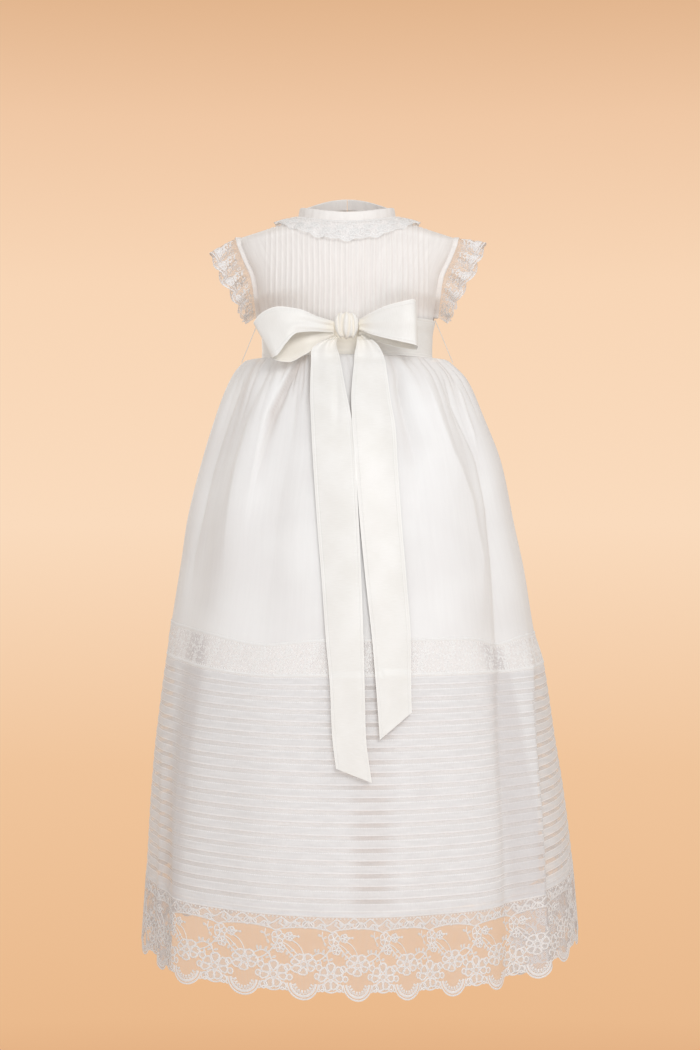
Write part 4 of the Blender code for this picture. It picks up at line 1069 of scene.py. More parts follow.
def makeInsertion():
    azimuths = evenAzimuths(insertionSettings["evenAt"], insertionSettings["columns"])
    levels = down(insertionSettings["rows"], insertionTop, insertionBottom)
    points = skirtForm(azimuths, levels, insertionSettings["outset"])
    # the point value for the painted shade beside the two front folds
    values = {"dense": insertionSettings["dense"], "doubled": doubledAt(azimuths, levels)}
    net = addPiece("insertionNet", points, "closeNet", True, values)
    loop = np.concatenate([azimuths, [180]])
    along = clothUv(points, True)[0, :, 0]
    count = insertionSettings["repeats"]
    pitch = along[-1] / count * 1000

    def place(x, y, rise):
        return skirtForm(np.interp(x, along, loop), insertionTop + y, rise)
    return net, laceStrip("insertionMotifs", insertionMotif(pitch), count, pitch, place)


# hem lace

hemSettings = {"columns": 1040, "rows": 30, "outset": -0.0003, "pitch": 58, "bandShift": 30,
               "dense": 0.5, "doubled": 0.42,
               # the azimuths where the lace lies double: denser net there, greyed with painted shade
               "doubledAt": ((40, 5, 100, -20), (-50, -4, -70, 8)),
               # the edge in millimetres: the wide arc's depth, radius and half width, then the lobes
               "arcDepth": 61.9, "arcRadius": 16, "arcHalf": 13.5, "lobeDepth": 67.2, "lobeRise": 4,
               "lobePitch": 8.8, "deepest": 71.5, "bandDepth": 15.2, "bandRise": 4}
# where the lace folds back behind itself: from and to which azimuth, how many repeats, how far behind and up
hemFolds = {"hemLaceFoldRight": (-70, -50, 2, -0.003, 0.005),
            "hemLaceFoldLeft": (43, 97, 5, -0.003, 0.006)}
# where the repeats meet, from the centre back round to it: the front ones as they hang, the others even
hemCusps = (-180, -166, -152, -138.5, -125, -111.5, -98, -84.5, -70.5, -57, -44.5, -28.7, -13.7, -0.8,
            11, 22.4, 34.4, 47, 60.5, 74, 88, 101.5, 115, 128, 141, 154, 167, 180)


def hemEdge(x):
    # how far down the edge reaches, over one repeat
    look, half = hemSettings, hemSettings["pitch"] / 2
    away = np.abs((x + half) % look["pitch"] - half)
    arc = look["arcDepth"] + np.sqrt(np.clip(look["arcRadius"] ** 2 - away ** 2, 0, None))
    swing = np.abs(np.cos((half - away) / look["lobePitch"] * math.pi / 2)) ** 0.6
    lobe = np.minimum(look["lobeDepth"] + look["lobeRise"] * swing, look["deepest"])
    return -np.where(away < look["arcHalf"], arc, lobe)


def hemBand(x):
    # the lower edge of the close upper band, over one repeat
    arch = np.sin(math.pi * x / hemSettings["pitch"]) ** 0.7
    return -hemSettings["bandDepth"] + hemSettings["bandRise"] * arch


def hemMotif():
    pitch, shift = hemSettings["pitch"], hemSettings["bandShift"]
    half = pitch / 2
    motif = Motif()
    # double arc with picots inside, centred on the repeat's edge at x = 0
    arcCentre = (0, -62)
    motif.arc(arcCentre, 15.8, -176, -4, 1.6, 18)
    motif.arc(arcCentre, 12.8, -176, -4, 2.5, 18)
    motif.arc(arcCentre, 10.3, -168, -12, 1.1, 36, 10, 0.9)
    for i in range(8):
        motif.dot(polar(arcCentre, 8.4, -164 + 148 * i / 7), 1.2)
    # an open flower over the arc, and a larger one between the arcs, whose petals form the lobed edge
    petals = 7
    for centre, reach, start, across, down in (((0, -45.2), 12, 64, 1.14, 0.8),
                                               ((half, -56.2), 13.4, 90, 1.1, 0.94)):
        first = len(motif.points)
        for i in range(petals):
            angle = start + 360 * i / petals + 5 * math.sin(i * 2.7)
            size = reach * (0.66 + 0.08 * math.sin(i * 1.9 + start))
            breadth = 8.8 + 1 * math.sin(i * 2.3)
            motif.petal(polar(centre, 4, angle), angle, size, breadth, 0.34, 2)
        motif.cell(centre, 3, 0.45, 1.6, 7)
        motif.stretch(first, centre, across, down)
    for x, y, radius in ((-9.2, -66.4, 3.4), (9.2, -66.4, 3.4), (-12.6, -47.8, 3),
                         (13.2, -49, 3), (-15, -56, 2.6), (15.5, -58, 2.6)):
        motif.cell((half + x, y), radius, 0.36, 1.6)
    lobes = np.linspace(half - 14, half + 14, 25)
    motif.cord(stack(lobes, hemEdge(lobes) + 0.6), 1.4)
    # branches that rise from the rosettes to the sprigs
    for width, *points in ((1.4, (9.5, -37.5), (17, -34.5), (24, -37.5), (27.5, -45)),
                           (1.4, (11, -43), (18, -40.5), (26, -33.5), (31.5, -26)),
                           (1.4, (33, -24), (31, -18), (31, -14.5)),
                           (1.4, (35, -27), (40, -31), (45.5, -36.8), (50, -40.5)),
                           (1.1, (37.5, -26), (42.5, -28.5), (48.5, -33.8), (53, -37.8)),
                           (1, (43, -22.5), (51, -26.5), (55.5, -31.8), (57.8, -37.2)),
                           (1.2, (20, -14.5), (19.5, -19), (21.5, -23.5))):
        motif.stem(points, width)
    for x, y, angle in ((15, -35, 80), (19.5, -34.5, 50), (16.5, -41, -60),
                        (22.5, -36.5, 130), (26.5, -33, 20), (23, -35, -60),
                        (29.5, -30, 160), (42.5, -33.5, 250), (44.5, -34, 20),
                        (40.5, -31.5, 200), (47, -36.5, 230), (13, -35, 110),
                        (27, -41, 20), (25, -40, 200), (21.5, -24, 300),
                        (20.5, -21, 20), (19, -19, 160)):
        motif.leaf((x, y), angle, 4.4, 2.2)
    # sprig: flowers with a trailing bud
    motif.flower((32.5, -21.5), 6.4, 5, 80, 0.3, 1.5)
    motif.flower((35, -31.2), 4.6, 5, 10, 0.3, 1.3)
    motif.flower((43.6, -20.5), 4, 5, 0, 0.4, 1.3)
    motif.stem([(39, -20.5), (47, -20), (53.5, -20)], 1, 6)
    motif.dot((48.8, -20), 1.3)
    motif.dot((52.5, -20), 1.3)
    # upper band: close net down to cusps, with waved cords, rings and leaves on it
    motif.cord([(x + shift, hemBand(x)) for x in np.linspace(0, pitch, 19)], 1.3)
    for low, rise, swing, wide, start in ((-12.6, 4.5, 2.4, 14.5, 4),
                                          (-6.8, 2, 2.6, 19.3, 0)):
        x = np.linspace(start, pitch - start, 37)
        arch = low + rise * np.sin(math.pi * x / pitch)
        motif.cord(stack(x + shift, arch + swing * np.sin(circle * x / wide)), 1.5)
    motif.across(pitch, lambda x: -0.8, 1.6, 9)
    for x in np.linspace(0.03, 0.97, 14):
        motif.dot((pitch * x, -2.6), 0.9)
    for x, y, radius in ((0.5, -9, 3.2), (0.62, -8.5, 2.6), (0.3, -9.8, 2.4),
                         (0.84, -10.5, 2.4)):
        motif.cell((shift + pitch * x, y), radius, 0.5)
    for x, y, angle in ((0.14, -11, 30), (0.2, -9.5, 140), (0.42, -7, 200), (0.74, -9.5, -30),
                        (0.92, -10, 150), (0.05, -9.5, 60)):
        motif.leaf((shift + pitch * x, y), angle, 5, 2.6, 0.9)
    return motif


def makeHemLace():
    count, pitch = len(hemCusps) - 1, hemSettings["pitch"]
    repeats = np.linspace(0, count, hemSettings["columns"] + 1)

    def azimuthAt(repeat):
        return np.interp(repeat % count, np.arange(count + 1), hemCusps)
    depth = hemEdge(repeats * pitch) * down(hemSettings["rows"]) / 1000
    flat = stack(repeats * pitch / 1000, depth)
    repeats, depth = repeats[:-1], depth[:, :-1]
    around = azimuthAt(repeats)
    # the close net of the upper band
    band = hemBand((repeats * pitch - hemSettings["bandShift"]) % pitch) / 1000
    dense = ramp(depth, band - 0.00075, 0.0015) * hemSettings["dense"]
    # the lace lies double at the side folds: its net is denser there, and painted shade greys it
    doubled = np.maximum(*(between(around, *place) for place in hemSettings["doubledAt"]))
    values = {"dense": np.maximum(dense, doubled * hemSettings["doubled"]),
              "doubled": np.maximum(doubledAt(around, tierBottom + depth), doubled)}
    points = skirtForm(around, tierBottom + depth, hemSettings["outset"])
    net = addPiece("hemLaceNet", points, "net", True, values, flat)

    def place(x, y, rise):
        return skirtForm(azimuthAt(x * 1000 / pitch), tierBottom + y, rise)
    return net, laceStrip("hemLaceMotifs", hemMotif(), count, pitch, place, "lace")


def makeHemFold(name):
    start, end, count, behind, up = hemFolds[name]
    pitch = hemSettings["pitch"]

    def place(x, y, rise):
        azimuth = mix(start, end, x * 1000 / pitch / count)
        return skirtForm(azimuth, tierBottom + y + up, rise + behind)
    return laceStrip(name, hemMotif(), count, pitch, place, "lace")


insertionNet, insertionMotifs = makeInsertion()
hemNet, hemMotifs = makeHemLace()
hemFoldPieces = [makeHemFold(name) for name in hemFolds]
declare(insertionNet, "lace", ["insertion_front", "insertion_back"],
        [insertionMotifs])
declare(hemNet, "lace", ["hem_lace_front", "hem_lace_back"],
        [hemMotifs, *hemFoldPieces])
letLightThrough(insertionNet, insertionMotifs, hemNet, *hemFoldPieces)
print("skirt lace ready")


# bodice

# from the waist up: x, y and z at the side, y and z in the middle
bodiceFront = metres(
    (88.5, 0, -148, -65, -148), (88.8, 0, -124, -66.2, -123), (92.5, 0, -101, -68.5, -98),
    (94, -25, -81, -69, -73), (97, -30, -62, -65.5, -48), (105.5, -26, -43, -57.5, -27),
    (112, -15, -27, -49, -15))
bodiceBack = metres(
    (88.5, 0, -148, 63, -148), (88.8, 0, -124, 64, -122), (92.5, 0, -101, 65.5, -94), (94, 24, -81, 66, -66),
    (97, 29, -62, 63.5, -38), (105.5, 25, -43, 57, -12), (112, 14.5, -27, 48.5, 6))
underarmRow, topRow = 2, 7
frontPanel, backPanel = smoothTable(bodiceFront), smoothTable(bodiceBack)


def neckLevel(side, ahead):
    return mix(np.where(ahead > 0, neckFrontLevel, neckBackLevel), neckSideLevel, side * side)


def topEdge(angle, back):
    tipX, _, tipZ = shoulderTip
    x = tipX * np.sin(np.radians(angle))
    side = np.clip(x / neckHalfWidth, -1, 1)
    y = (neckBack if back else -neckFront) * np.sqrt(1 - side * side)
    z = neckLevel(side, -1 if back else 1)
    out = (np.abs(x) - neckHalfWidth) / (tipX - neckHalfWidth)
    inside = np.abs(x) < neckHalfWidth
    return stack(x, np.where(inside, y, 0), np.where(inside, z, mix(neckSideLevel, tipZ, out)))


def bodiceForm(angle, rise, back=False):
    angle, rise = np.broadcast_arrays(np.asarray(angle, float), np.asarray(rise, float))
    turn = np.radians(angle)
    row = np.minimum(rise, topRow - 1)
    side, ahead = np.sin(turn), np.cos(turn)
    sideX, sideY, sideZ, middleY, middleZ = (backPanel if back else frontPanel)(row)
    point = stack(sideX * side, mix(sideY, middleY, ahead), mix(middleZ, sideZ, side * side))
    share = rise - row
    # the shoulder rounds over rather than slopes
    shares = stack(share, share ** 1.7, 1 - (1 - share) ** 1.7)
    point = mix(point, topEdge(angle, back), shares)
    return point + np.array((bodiceLean, 0, 0))


bodiceSettings = {"columns": 430, "rows": 96, "inset": 0.0009, "pitch": 0.0056, "lastTuck": 0.0855,
                  # how much the tucks wander, and how much they differ in height
                  "wander": 0.05, "uneven": 0.15,
                  "tucks": {"Height": 0.0007, "Rise": 0.42, "Fold": 0.5, "Edge": 0.22},
                  "backColumns": 64, "backRows": 72, "backInset": 0.0002, "opening": 0.00015}


def makeBodiceFront():
    fine = np.radians(np.linspace(-90, 90, 361))
    halfWidth, _, _, middleY, _ = bodiceFront[0]
    girth = stack(halfWidth * np.sin(fine), middleY * np.cos(fine))
    angles = np.degrees(evenly(girth, fine, bodiceSettings["columns"]))
    rises = down(bodiceSettings["rows"], topRow, 0)
    points = bodiceForm(angles, rises)
    inset = bodiceSettings["inset"] * np.clip((topRow - rises) / 0.4, 0.05, 1)
    points = points - gridNormals(points) * inset[..., None]
    # the tucks run upright, so their phase follows x; they stop before the armhole
    x = points[..., 0] - bodiceLean
    wander = bodiceSettings["wander"] * np.sin(points[..., 2] * 90 + x * 60)
    phase = x / bodiceSettings["pitch"] + 40.5 + wander
    uneven = bodiceSettings["uneven"]
    height = 1 - uneven + uneven * np.sin(np.floor(phase) * 2.4)
    strength = ramp(np.abs(x), bodiceSettings["lastTuck"], -0.002) * height
    values = {"tuckPhase": phase, "tuckStrength": strength}
    piece = addPiece("bodiceFront", points, "bodiceCloth", False, values)
    return applyGroup(piece, tuckGroup, {**bodiceSettings["tucks"], "Finish": finishes["pintucks"]})


def makeBodiceBack(name, sign):
    opening = math.degrees(bodiceSettings["opening"] / bodiceBack[0][0])
    angles = np.linspace(opening, 90, bodiceSettings["backColumns"])[::-1] * sign
    points = bodiceForm(angles, down(bodiceSettings["backRows"], topRow, 0), True)
    return addPiece(name, points - gridNormals(points) * bodiceSettings["backInset"], "bodiceCloth")


declare(makeBodiceFront(), "organza", ["bodice_front"])
for side, sign in (("Right", -1), ("Left", 1)):
    declare(makeBodiceBack("bodiceBack" + side, sign), "organza", ["bodice_back_" + side.lower()])
print("bodice ready")


# neck

neckSettings = {"opening": 0.3, "height": 0.0115, "lean": 0.002, "wall": 0.0014, "foot": 0.0006,
                "columns": 220, "ripples": ((0.00018, 23, 0), (0.00012, 41, 1))}


def neckForm(azimuth, outset, rise):
    turn = np.radians(azimuth)
    side, ahead = np.sin(turn), np.cos(turn)
    depth = np.where(ahead > 0, neckFront, neckBack)
    x = (neckHalfWidth + outset) * side + bodiceLean
    return stack(x, -(depth + outset) * ahead, neckLevel(side, ahead) + rise)


def neckAzimuths(count):
    return np.linspace(-180 + neckSettings["opening"], 180 - neckSettings["opening"], count)


# one strip folded over at the top, from its inner foot: shares of the lean, the wall and the height
neckProfile = ((0, 1, 0), (0.4, 1, 0.4), (0.9, 1, 0.9), (0.95, 1, 0.97), (1, 0.5, 1),
               (1.05, 0, 0.975), (0.9, 0, 0.9), (0.6, 0, 0.6), (0.25, 0, 0.25), (0, 0, 0))


def makeNeckband():
    azimuths = neckAzimuths(neckSettings["columns"])
    height, lean, wall, foot = (neckSettings[key] for key in ("height", "lean", "wall", "foot"))
    ripple = ripples(np.radians(azimuths), neckSettings["ripples"])
    points = np.stack([neckForm(azimuths, ripple - lean * leans - wall * behind, foot + height * up)
                       for leans, behind, up in neckProfile])
    return addPiece("neckband", points, "bodiceCloth")


collarSettings = {"width": 0.025, "front": -0.024, "side": -0.0075, "back": -0.025, "waves": 14,
                  "wave": 0.0012, "columns": 400, "rows": 14, "pitch": 25, "deep": 29,
                  # where it starts on the band, and the share of its width that shows in front and behind
                  "standsOff": 0.0006, "start": 0.0024, "narrow": 0.74}


def collarForm(azimuth, out, lift=0):
    ahead = np.cos(np.radians(azimuth))
    fall = np.where(ahead > 0, mix(collarSettings["side"], collarSettings["front"], ahead ** 2),
                    mix(collarSettings["side"], collarSettings["back"], ahead ** 4))
    width = collarSettings["width"] * mix(1, collarSettings["narrow"], ahead * ahead)
    share = (azimuth + 180 - neckSettings["opening"]) / (360 - 2 * neckSettings["opening"])
    turn = circle * collarSettings["waves"] * share
    wave = collarSettings["wave"] * out * (1 - np.cos(turn + 0.5 * np.sin(turn)))
    return neckForm(azimuth, collarSettings["standsOff"] + width * out ** 0.6,
                    collarSettings["start"] + fall * out + wave + lift)


def lobedCord(motif, pitch, deep, high, swing):
    # the edge of a narrow lace, over two lobes
    for left in (0, pitch * 0.5):
        motif.cord([(left + x, -deep * (high + swing * abs(math.cos(circle * x / pitch)) ** 0.7))
                    for x in np.linspace(0, pitch * 0.5, 9)], 1.3)


def collarMotif(pitch, deep):
    motif = Motif()
    lobedCord(motif, pitch, deep, 0.93, 0.07)
    for left in (0, pitch * 0.5):
        motif.arc((left, -deep * 0.74), 3.6, -170, -10, 0.8, 10)
    motif.flower((pitch * 0.25, -deep * 0.62), 4.8, 6, 90, 0.8, 0.9)
    motif.flower((pitch * 0.75, -deep * 0.42), 4, 5, 20, 0.8, 0.9)
    for line in (((0.45, 0.78), (0.62, 0.6), (0.75, 0.46)),
                 ((0.75, 0.4), (0.95, 0.24), (1.15, 0.3), (1.25, 0.5))):
        motif.stem([(pitch * x, -deep * y) for x, y in line], 0.9)
    for x, y, angle in ((0.5, 0.66, 70), (0.6, 0.72, 0), (0.9, 0.34, -60), (1.02, 0.2, 40),
                        (0.36, 0.24, 150), (0.1, 0.8, -40), (0.8, 0.78, 200)):
        motif.leaf((pitch * x, -deep * y), angle, 4.2, 2.2, 0.95)
    motif.across(pitch, lambda x: -deep * 0.06, 1, 7)
    return motif


def makeCollar():
    waves, pitch, deep = (collarSettings[key] for key in ("waves", "pitch", "deep"))
    azimuths = neckAzimuths(collarSettings["columns"])
    share = np.linspace(0, 1, collarSettings["columns"])
    edge = 0.95 + 0.07 * np.abs(np.cos(circle * waves * share)) ** 0.7
    out = down(collarSettings["rows"]) * edge
    flat = stack(share * pitch * waves, -out * deep) / 1000
    net = addPiece("collarNet", collarForm(azimuths, out), "closeNet", False, {"dense": 0.5}, flat)

    def place(x, y, rise):
        along = x * 1000 / (pitch * waves)
        out = np.clip(-y * 1000 / deep, 0, np.interp(along, share, edge) + 0.02)
        return collarForm(np.interp(along, share, azimuths), out, rise)
    return net, laceStrip("collarMotifs", collarMotif(pitch, deep), waves, pitch, place)


declare(makeNeckband(), "organza", ["neckband"])
collarNet, collarMotifs = makeCollar()
declare(collarNet, "lace", ["collar_lace"], [collarMotifs])
letLightThrough(collarNet)


# armholes

armholeSettings = {"standsOff": -0.0022, "width": 0.0062, "wall": 0.0013, "columns": 160}


def armholePoint(part, sign):
    climb = topRow - underarmRow
    front = bodiceForm(90, topRow - climb * np.clip(part, 0, 0.5) * 2)
    back = bodiceForm(90, underarmRow + climb * (np.clip(part, 0.5, 1) - 0.5) * 2, True)
    point = np.where((part <= 0.5)[..., None], front, back)
    return stack((point[..., 0] - bodiceLean) * sign + bodiceLean, point[..., 1], point[..., 2])


def armholeFrame(part, sign):
    edge = armholePoint(part, sign)
    along = unit(armholePoint((part + 0.01) % 1, sign) - armholePoint((part - 0.01) % 1, sign))
    across = unit(stack(0, along[..., 2], -along[..., 1]))
    middle = stack(edge[..., 0], 0, (shoulderTip[2] + bodiceFront[underarmRow][2]) / 2)
    outward = np.sign((across * (edge - middle)).sum(-1, keepdims=True))
    return edge, across * outward, along


def bulge(value):
    return 0.5 + 0.5 * math.copysign(abs(value) ** 0.6, value)


def makeBinding(name, sign):
    part = np.linspace(0, 1, armholeSettings["columns"], endpoint=False)
    edge, across, _ = armholeFrame(part, sign)
    near, width, wall = (armholeSettings[key] for key in ("standsOff", "width", "wall"))
    points = np.stack([edge + across * wall * bulge(math.sin(turn))
                       + np.array((sign * (near + width * bulge(math.cos(turn))), 0, 0))
                       for turn in np.linspace(0, circle, 13)])[::-sign]
    return closeUp(addPiece(name, points, "bodiceCloth", True, None, clothUv(points, True, 0)))


sleeveSettings = {
    # width at the shoulder, how steeply it falls there and under the arm
    "right": (0.0285, 0.93, 0.25), "left": (0.0262, 0.52, 0.25),
    "waves": 10, "wave": 0.0052, "sway": 0.0062, "sag": 0.0022, "notch": 0.15, "near": 0.0036,
    # how much narrower and how much calmer it is under the arm
    "narrower": 0.5, "calmer": 0.6, "columns": 440, "rows": 22, "pitch": 30, "deep": 28,
}


def sleeveForm(side, sign, part, out, lift=0):
    part, out = np.broadcast_arrays(part, out)
    width, droop, droopUnder = sleeveSettings[side]
    edge, across, along = armholeFrame(part, sign)
    under = 0.5 - 0.5 * np.cos(circle * part)
    drop = mix(droop, droopUnder, under ** 4)
    flare = unit(stack(sign, 0.18 * across[..., 1], 0.3 * across[..., 2] - drop))
    narrower, calmer = sleeveSettings["narrower"], sleeveSettings["calmer"]
    turn = circle * sleeveSettings["waves"] * part + math.pi + 0.5 * np.sin(circle * part * 3)
    notch = sleeveSettings["notch"] * out * np.sin(turn + 2.4 + 0.5 * np.sin(turn))
    reach = width * (1 - narrower * under ** 3) * (1 + notch) * out
    wave = sleeveSettings["wave"] * out ** 0.8 * np.cos(turn + 0.7 * np.sin(turn)) * (1 - calmer * under ** 4)
    sway = sleeveSettings["sway"] * out ** 1.3 * np.sin(turn) * (1 - calmer * under ** 6)
    shift = stack(sign * sleeveSettings["near"], 0, -sleeveSettings["sag"] * out ** 1.5)
    return (edge + shift + flare * reach[..., None] + across * (wave + lift + 0.0006)[..., None]
            + along * sway[..., None])


def sleeveEdge(part):
    return 0.955 + 0.05 * np.abs(np.cos(circle * sleeveSettings["waves"] * part)) ** 0.7


def sleeveMotif(pitch, deep):
    motif = Motif()
    half = pitch * 0.5
    lobedCord(motif, pitch, deep, 0.945, 0.05)
    motif.across(pitch, lambda x: -deep * 0.86 - 1 * math.sin(x / pitch * 4 * circle), 0.9, 33)
    for x, y in ((0.22, 0.68), (0.76, 0.64), (0.3, 0.3), (0.8, 0.34), (0.04, 0.48), (0.55, 0.48)):
        motif.rosette((pitch * x, -deep * y), 1.9, 90 * x, 0.9)
    motif.stem([(half, -deep * 0.14), (half * 0.92, -deep * 0.4), (half * 1.05, -deep * 0.76)], 0.8)
    for y, angle in ((0.24, -28), (0.4, 208), (0.56, -28)):
        motif.leaf((half, -deep * y), angle, 4.8, 2.2)
    motif.flower((half * 1.05, -deep * 0.78), 3.4, 5, 90, 0.5, 1)
    motif.flower((0, -deep * 0.72), 3.4, 5, 30, 0.5, 1)
    return motif


def makeSleeve(side, sign):
    waves, pitch, deep, rows = (sleeveSettings[key] for key in ("waves", "pitch", "deep", "rows"))
    part = np.linspace(0, 1, sleeveSettings["columns"] + 1)
    out = down(rows) * sleeveEdge(part)
    flat = stack(part * pitch * waves, -out * deep) / 1000
    points = sleeveForm(side, sign, part[:-1], out[:, :-1])
    edge = np.concatenate([np.zeros(rows - 5), np.linspace(0.1, 0.45, 5)])
    dense = (0.04 + edge * 0.8)[:, None]
    name = "sleeve" + side.capitalize()
    order = slice(None, None, -sign)
    net = addPiece(name + "Net", points[order], "sheerNet", True, {"dense": dense[order]}, flat[order])

    def place(x, y, rise):
        part = x * 1000 / (pitch * waves) % 1
        out = np.clip(-y * 1000 / deep, 0, sleeveEdge(part) + 0.012)
        return sleeveForm(side, sign, part, out, rise + 0.0001)
    return net, laceStrip(name + "Motifs", sleeveMotif(pitch, deep), waves, pitch, place, "lace")


for side, sign in (("right", -1), ("left", 1)):
    binding = "armhole_binding_" + side
    declare(makeBinding("armholeBinding" + side.capitalize(), sign), "organza", [binding])
    net, motifs = makeSleeve(side, sign)
    declare(net, "lace", ["sleeve_lace_" + side], [motifs])
    letLightThrough(net, motifs)
print("neck and armholes ready")


# sash and bow

sashSettings = {"bottom": -0.1455, "top": -0.106, "outset": 0.0016, "crease": 0.0005, "columns": 300,
                "rows": 26,
                # how far the knot draws it in, over what half breadth in degrees
                "pinch": 0.0075, "pinchBreadth": 15}
sashFoot, sashSpan = bodiceFront[0][4], bodiceFront[2][2] - bodiceFront[0][4]


def edgeAway(share):
    # how far from the nearer edge of the ribbon
    return np.minimum(share, 1 - share) * ribbonWidth


def sashForm(azimuth, share, outset):
    pinch = sashSettings["pinch"] * bell(turnBetween(azimuth, 0) / sashSettings["pinchBreadth"])
    level = mix(sashSettings["bottom"] - 0.05 * pinch, sashSettings["top"] - pinch, share)
    turn = np.radians(azimuth)
    ahead = np.cos(turn)
    row = 2 * (level - sashFoot) / sashSpan
    halfWidth, _, _, middle, _ = np.where(ahead > 0, frontPanel(row), backPanel(row))
    x = (halfWidth + outset) * np.sin(turn) + bodiceLean
    return stack(x, middle * np.abs(ahead) - outset * ahead, level)


def makeSash():
    azimuths, share = allRound(sashSettings["columns"]), down(sashSettings["rows"], 1, 0)
    turn = np.radians(azimuths)
    creases = (np.sin(share * 15 + 0.9 * np.sin(turn * 2) + 0.6) * 0.5
               + np.sin(share * 27 - 1.3 * np.sin(turn * 3)) * 0.25)
    near = 0.35 + bell(turnBetween(azimuths, 0) / 38)
    points = sashForm(azimuths, share, sashSettings["outset"] + sashSettings["crease"] * creases * near)
    # painted warm shade near the knot
    values = {"edgeAway": edgeAway(share), "warm": warmShadeNear(points, 0.034) * 0.9}
    return addPiece("sash", points, "satin", True, values)


# the upper and the lower edge of the ribbon, on its way out from the knot and back
loops = {
    "bowLoopRight": metres(
        (-16.6, -77, -112.8, -16.6, -77.5, -124), (-32, -83.5, -109, -33, -86, -124.2),
        (-52, -88, -101.5, -53, -94, -126.2), (-72, -88.5, -99, -64, -98.5, -136.5),
        (-89, -85, -104.5, -73.5, -98.5, -149), (-98.5, -79, -115, -79, -93.5, -152),
        (-90, -74, -118, -74.5, -89, -154), (-69, -74.5, -115, -62, -89, -155.5),
        (-48, -75, -113.5, -46, -88, -148), (-31, -74.5, -115, -30, -81, -137),
        (-16.6, -73.8, -118, -16.6, -74.2, -127.8)),
    "bowLoopLeft": metres(
        (9.4, -77, -111, 9.4, -77.5, -121.5), (24, -84, -103.5, 23, -86, -127.5),
        (39, -88.5, -97.5, 38, -92, -132), (53, -89.5, -94, 53, -94.5, -135.5),
        (64, -87, -91.5, 66, -93.5, -138.5), (67.2, -82, -92.5, 69, -88, -140),
        (64, -77.5, -96, 67, -83, -143), (50, -76, -100, 53, -82, -141), (35, -75.5, -105, 37, -80, -137),
        (22, -74.8, -110, 23, -77, -132), (9.4, -73.8, -115, 9.4, -74.2, -126))}
loopSettings = {"perRow": 11, "across": 25,
                # creases that run out from the knot: place across the ribbon, depth, breadth
                "creases": ((0.22, 0.0012, 0.09), (0.48, -0.0014, 0.07), (0.72, 0.0011, 0.08),
                            (0.9, -0.0007, 0.05))}


def warmShadeNear(points, reach=0.021):
    # painted warm shade where the satin crowds at the knot
    away = np.linalg.norm((points - np.array(knotSettings["centre"])) * (1, 0.5, 1), axis=-1)
    return 0.5 * np.exp(-(away / reach) ** 3)


def makeLoop(name):
    last = len(loops[name]) - 1
    place = down(last * loopSettings["perRow"] + 1, 0, last)
    share = np.linspace(0, 1, loopSettings["across"])[None, :]
    edges = smoothTable(loops[name])(place)
    points = stack(*mix(edges[:3], edges[3:], share))
    toKnot = np.minimum(place, last - place)
    strength = np.exp(-toKnot / 1.7) * np.clip(toKnot / 0.3, 0.25, 1)
    push = 0.0006 * np.sin(share * math.pi) * np.sin(place * 1.1)
    for where, depth, breadth in loopSettings["creases"]:
        drift = where + 0.03 * np.sin(place * 1.3 + where * 9)
        push = push + depth * strength * bell((share - drift) / breadth)
    points = points + gridNormals(points) * push[..., None]
    # the right loop turns the other way, so its rows run the other way too
    order = slice(None, None, -1 if name == "bowLoopRight" else 1)
    # painted warm shade near the knot and over the loop's returning half, which lies behind
    warm = np.maximum(warmShadeNear(points), 0.3 * ramp(place, last * 0.55, 1))
    values = {"edgeAway": edgeAway(share), "warm": warm[order]}
    return addPiece(name, points[order], "satin", False, values)


knotSettings = {"centre": (-0.0036, -0.0771, -0.1172), "half": (0.0115, 0.0073, 0.0132), "round": 0.62,
                # powers under 1 make it squarer than an ellipsoid
                "columns": 96, "rows": 48, "squareRound": 0.75, "squareUp": 0.7,
                # place across, depth, breadth
                "creases": ((-0.0078, 0.0016, 0.0009), (-0.0036, 0.0034, 0.0012), (0.0022, 0.0026, 0.001),
                            (0.0066, 0.0022, 0.001))}


def soft(value, exponent):
    return np.sign(value) * np.abs(value) ** exponent


def makeKnot():
    turn = allRound(knotSettings["columns"], 0, circle)
    climb = down(knotSettings["rows"], math.pi / 2, -math.pi / 2)
    halfX, halfY, halfZ = knotSettings["half"]
    wide = np.abs(np.cos(climb)) ** knotSettings["round"]
    x = halfX * wide * soft(np.cos(turn), knotSettings["squareRound"])
    y = halfY * wide * soft(np.sin(turn), knotSettings["squareRound"])
    x = x * (1 + 0.1 * np.sin(climb * 2 + 0.6)) - 0.0008 * np.sin(climb)
    z = halfZ * soft(np.sin(climb), knotSettings["squareUp"]) * (1 + 0.07 * np.cos(x * 900))
    front = np.clip(-np.sin(turn), 0, 1) ** 0.5
    creaseShade = np.zeros(y.shape)
    for place, depth, breadth in knotSettings["creases"]:
        route = place * (1 - 0.25 * np.sin(climb) ** 2) + 0.001 * np.sin(climb * 2 + place * 400)
        valley = bell((x - route) / breadth) * front
        y = y + depth * np.cos(climb) ** 0.3 * valley
        creaseShade = np.maximum(creaseShade, valley)
    points = stack(x, y, z) + np.array(knotSettings["centre"])
    # painted warm shade, more of it in the knot's creases
    values = {"edgeAway": 0.02, "warm": 0.05 + 0.35 * creaseShade}
    return closeUp(addPiece("bowKnot", points, "satin", True, values))


